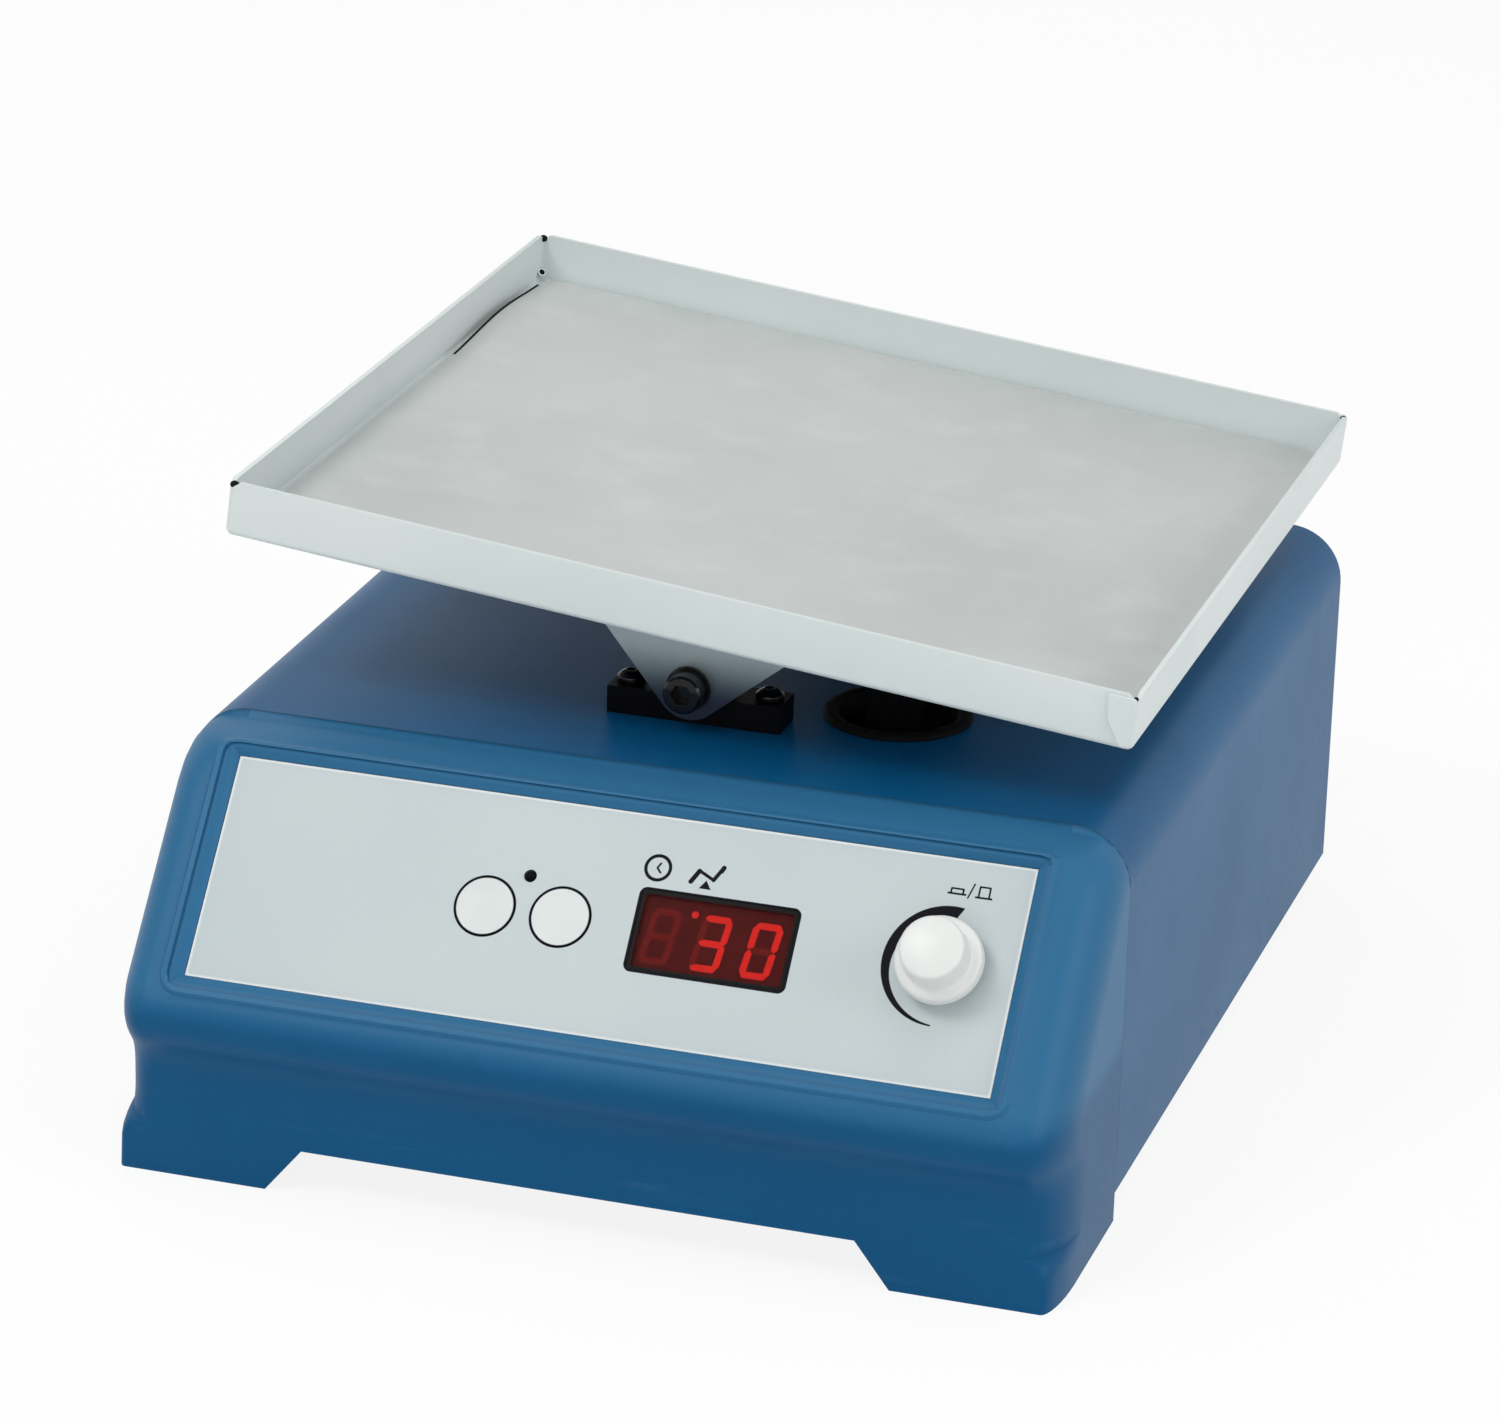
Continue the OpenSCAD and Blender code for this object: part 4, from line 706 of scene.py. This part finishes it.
print("moulded housing")
softened("housing", housingSettings["edge"], smooth=40)
bezel = softened("front_bezel", 0, smooth=30)
brow = bmesh.new()
brow.from_mesh(bezel.data)
slopedFrame(brow, housingSettings)
fallingBrow(brow, housingSettings)
brow.to_mesh(bezel.data)
brow.free()
bezel.data.set_sharp_from_angle(angle=math.radians(32))
easeEdges(bezel, housingSettings["panelEdge"], 2, 45)
softened("rear_panel", housingSettings["rearEdge"])


# control panel

barSettings = {  # millimetres
    "pitch": 12.65, "lean": 6, "left": 0.6, "low": 0.7, "halfWidth": 2.95, "halfHeight": 6.25, "tip": 0.5,
    "inset": 0.12, "point": (-5.325, 6.6), "pointReach": 1.2, "lit": {-1: "", 0: "abcdg", 1: "abcdef"}}
buttonEdge = 0.0003


def displaySegments(s):  # bars that belong to the shown number glow; the others get a fainter painted glow
    w, h, lean = s["halfWidth"], s["halfHeight"], math.tan(math.radians(s["lean"]))
    bars = {"a": ((-w, h), (w, h)), "g": ((-w, 0), (w, 0)), "d": ((-w, -h), (w, -h)), "b": ((w, 0), (w, h)),
            "c": ((w, -h), (w, 0)), "f": ((-w, 0), (-w, h)), "e": ((-w, -h), (-w, 0))}
    toPanel = panelSpace.inverted()

    def offBar(place, bar):  # distance to a bar's middle line
        start, end = (Vector(corner) for corner in bars[bar])
        tip = (end - start).normalized() * s["tip"]
        start, end = start + tip, end - tip
        along = min(1, max(0, (place - start).dot(end - start) / (end - start).length_squared))
        return (place - start - along * (end - start)).length

    def glowing(face):
        place = toPanel @ (face.calc_center_median() - face.normal * s["inset"] * mm)  # inside its own bar
        x = place.x / mm - panelLayout["window"][0] + s["left"]
        y = place.y / mm - panelLayout["window"][1] + s["low"]
        if math.hypot(x - s["point"][0], y - s["point"][1]) < s["pointReach"]:
            return True  # the round point between the digits
        digit = min(1, max(-1, round((x - y * lean) / s["pitch"])))
        inDigit = Vector((x - y * lean - digit * s["pitch"], y))
        return min(bars, key=lambda bar: offBar(inDigit, bar)) in s["lit"][digit]

    for name, wanted, material in (("litBars", True, finishes["lit_segments"]),
                                   ("restingBars", False, paintedGlowSegments)):
        shape = bmesh.new()
        shape.from_mesh(nodes["display_segments"].data)
        other = [face for face in shape.faces if glowing(face) != wanted]
        bmesh.ops.delete(shape, geom=other, context="FACES")
        finishedPiece(name, shape, "base", "lit_segments", material, 30, ["display_segments"])


print("control panel")
displaySegments(barSettings)
softened("knob", 0.0005, 3, angle=25, smooth=30)
for button in ("start_button", "mode_button"):
    softened(button, buttonEdge, material=finishes["button_cap"])


# folded tray, in the platform's own space

traySettings = {
    "side": 0.2326, "low": 0.0206, "high": 0.0349, "sheet": 0.0012, "bend": 0.0026, "corner": 0.0018,
    "edge": 0.0003, "notch": 0.0016, "notchRise": 1.3,
    "flap": 0.0008, "flapLength": 0.0078, "flapWaist": 0.007, "flapFoot": 0.003, "flapInset": 0.0006,
    "flapRise": 0.0008, "flapRound": 0.0008, "flapSkin": 0.00005, "flapEdge": 0.0002,
    "reliefIn": 0.0023, "reliefUp": 0.0038, "reliefLip": 0.0013, "reliefHole": 0.0008, "reliefThick": 0.0003,
    "reliefRise": 1.4, "gapIn": 0.0012, "gapDown": 0.0011,
    # the gaps place dark blobs of painted shadow in the corner notches
    "gaps": {(-1, -1): 0.0012, (1, -1): 0.0006, (-1, 1): 0.0012, (1, 1): 0.0009}}
trayCorners = [(sx, sy) for sx in (-1, 1) for sy in (-1, 1)]


def foldedTray(s):
    half, front, deep = s["side"] / 2, s["side"] / 2 - s["flap"], s["high"] - s["low"]
    shape = bmesh.new()
    bmesh.ops.create_cube(shape, size=1.0)
    bmesh.ops.scale(shape, vec=(2 * half, 2 * front, deep), verts=shape.verts)
    bmesh.ops.translate(shape, vec=(0, 0, (s["low"] + s["high"]) / 2), verts=shape.verts)
    top = [face for face in shape.faces if face.normal.z > 0.9]
    bmesh.ops.delete(shape, geom=top, context="FACES_ONLY")
    upright = [e for e in shape.edges if abs(e.verts[0].co.z - e.verts[1].co.z) > deep / 2]
    roundEdges(shape, upright, s["corner"], 3)
    nearFloor = s["low"] + 1e-5
    floorRim = [e for e in shape.edges if not e.is_boundary and max(v.co.z for v in e.verts) < nearFloor]
    roundEdges(shape, floorRim, s["bend"], 4)
    for sx, sy in trayCorners:  # a small notch where two rims meet
        normal = Vector((sx, sy, s["notchRise"])).normalized()
        corner = Vector((sx * half, sy * front, s["high"]))
        bmesh.ops.bisect_plane(shape, geom=shape.verts[:] + shape.edges[:] + shape.faces[:],
                               plane_co=corner - normal * s["notch"], plane_no=normal, clear_outer=True)
    bmesh.ops.recalc_face_normals(shape, faces=shape.faces)
    onPlatform(shape)
    tray = finishedPiece("traySheet", shape, "platform", "pale_paint", replaced=["tray"])
    thickened(tray, s["sheet"], even=True)
    easeEdges(tray, s["edge"])


def trayFlaps(s):  # corner flaps folded from the right wall over the front and back walls
    half, top = s["side"] / 2, s["high"] - s["flapInset"]
    middle, foot = s["low"] + 0.5 * (s["high"] - s["low"]), s["low"] + s["flapRise"]
    shape = bmesh.new()
    outline = [(half - s["flapWaist"], middle), (half - s["flapLength"], top), (half - s["flapInset"], top),
               (half - s["flapInset"], foot + s["flapRound"]), (half - s["flapFoot"], foot)]
    face = shape.faces.new([shape.verts.new((x, s["flapSkin"] - half, z)) for x, z in outline])
    swept = bmesh.ops.extrude_face_region(shape, geom=[face])["geom"]
    swept = [vert for vert in swept if isinstance(vert, bmesh.types.BMVert)]
    bmesh.ops.translate(shape, vec=(0, s["flap"], 0), verts=swept)
    corners = [e for e in shape.edges if abs(e.verts[0].co.y - e.verts[1].co.y) > s["flap"] / 2]
    roundEdges(shape, corners, s["flapRound"], 3)
    everything = shape.verts[:] + shape.edges[:] + shape.faces[:]
    bmesh.ops.mirror(shape, geom=everything, axis="Y", merge_dist=0)
    bmesh.ops.recalc_face_normals(shape, faces=shape.faces)
    onPlatform(shape)
    easeEdges(finishedPiece("trayFlaps", shape, "platform", "pale_paint"), s["flapEdge"])


def reliefHoles(s):  # bend relief in the corners above the floor, with a bare bright lip; the hole is a black disc, a painted shadow
    across, along = s["side"] / 2 - s["reliefIn"], s["side"] / 2 - s["flap"] - s["reliefIn"]
    # the black discs are painted shadow in the holes
    for name, wanted, finish in (("reliefHoles", True, "black_rubber"), ("reliefLips", False, "pale_paint")):
        shape = bmesh.new()
        for sx, sy in trayCorners:
            facing = Vector((-sx, -sy, s["reliefRise"]))
            turn = Vector((0, 0, 1)).rotation_difference(facing).to_matrix().to_4x4()
            space = Matrix.Translation((sx * across, sy * along, s["low"] + s["reliefUp"])) @ turn
            bmesh.ops.create_circle(shape, cap_ends=True, segments=24, radius=s["reliefLip"], matrix=space)
        holes = shape.faces[:]
        bmesh.ops.inset_individual(shape, faces=holes, thickness=s["reliefLip"] - s["reliefHole"],
                                   use_even_offset=True)
        other = [face for face in shape.faces if (face in holes) != wanted]
        bmesh.ops.delete(shape, geom=other, context="FACES")
        onPlatform(shape)
        thickened(finishedPiece(name, shape, "platform", "pale_paint", finishes[finish]), s["reliefThick"])


def rimGaps(s):  # dark blobs inside the corner notches, a painted shadow where the folded rims meet
    across, along = s["side"] / 2 - s["gapIn"], s["side"] / 2 - s["flap"] - s["gapIn"]
    shape = bmesh.new()
    for (sx, sy), radius in s["gaps"].items():
        made = bmesh.ops.create_icosphere(shape, subdivisions=2, radius=radius)["verts"]
        bmesh.ops.scale(shape, vec=(1, 1, 0.8), verts=made)
        bmesh.ops.translate(shape, vec=(sx * across, sy * along, s["high"] - s["gapDown"]), verts=made)
    onPlatform(shape)
    finishedPiece("rimGaps", shape, "platform", "pale_paint", finishes["black_rubber"], 60)


print("tray")
foldedTray(traySettings)
trayFlaps(traySettings)
reliefHoles(traySettings)
rimGaps(traySettings)


# mat

def risen(s, x, y):  # the left edge stands up a little near the back corner
    near = max(0, 1 - (x + s["half"]) / s["liftReach"])
    along = max(0, 1 - abs(y - s["liftMiddle"]) / s["liftHalf"])
    return s["top"] + s["lift"] * near * near * along * along * (3 - 2 * along)


def liftedMat(s):
    inner = s["half"] - s["cornerRadius"]
    shape = bmesh.new()
    bmesh.ops.create_grid(shape, x_segments=s["grid"], y_segments=s["grid"], size=s["half"])
    for vert in shape.verts:
        x, y = abs(vert.co.x) - inner, abs(vert.co.y) - inner
        if x > 0 and y > 0:  # rounded corners
            share = max(x, y) / math.hypot(x, y)
            vert.co.x = math.copysign(inner + x * share, vert.co.x)
            vert.co.y = math.copysign(inner + y * share, vert.co.y)
        vert.co.z = risen(s, vert.co.x, vert.co.y)
    bmesh.ops.recalc_face_normals(shape, faces=shape.faces)
    onPlatform(shape)
    mat = finishedPiece("matSheet", shape, "platform", "grey_mat", None, 50, ["nonslip_mat"])
    thickened(mat, s["thick"], even=True)
    easeEdges(mat, s["edge"])


def matEdgeShadow(s):  # painted shadow: a dark strip along the edge of the part that has come up
    shape = bmesh.new()
    bmesh.ops.create_grid(shape, x_segments=1, y_segments=s["edgeShadowSteps"], size=0.5)
    bmesh.ops.scale(shape, vec=(s["edgeShadowWidth"], s["wornTo"] - s["wornFrom"], 1), verts=shape.verts)
    middle = (s["edgeShadowWidth"] / 2 - s["half"], (s["wornTo"] + s["wornFrom"]) / 2, 0)
    bmesh.ops.translate(shape, vec=middle, verts=shape.verts)
    for vert in shape.verts:
        vert.co.z = risen(s, vert.co.x, vert.co.y) + s["wornSkin"]
    onPlatform(shape)
    worn = finishedPiece("matEdgeShadow", shape, "platform", "grey_mat", finishes["black_rubber"], 60)
    thickened(worn, s["edgeShadowThick"], 1)


print("mat")
matSettings["half"] = traySettings["side"] / 2 - traySettings["sheet"] - matSettings["margin"]
matSettings["top"] = traySettings["low"] + traySettings["sheet"] + matSettings["skin"] + matSettings["thick"]
liftedMat(matSettings)
matEdgeShadow(matSettings)


# drive and pivots: width and segments of the eased edges, and the slot where it is another

driveSettings = {
    "cradle": (0.0003, 2), "front_block": (0.0006, 3), "rear_block": (0.0006, 3),
    "drive_arm": (0.0003, 2, "black_block"), "drive_grommet": (0.0006, 3),
    "pivot_washers": (0.0001, 2, "black_screw"), "pivot_screws": (0.0004, 3), "block_screws": (0.0004, 3)}

print("drive and pivots")
softenedAll(driveSettings)


# underside and back

undersideSettings = {"rubber_feet": (0.0004, 2), "mains_inlet": (0.0004, 2), "rear_screws": (0.0002, 2),
                     "inlet_pins": (0.0003, 2)}

print("underside and back")
softenedAll(undersideSettings)
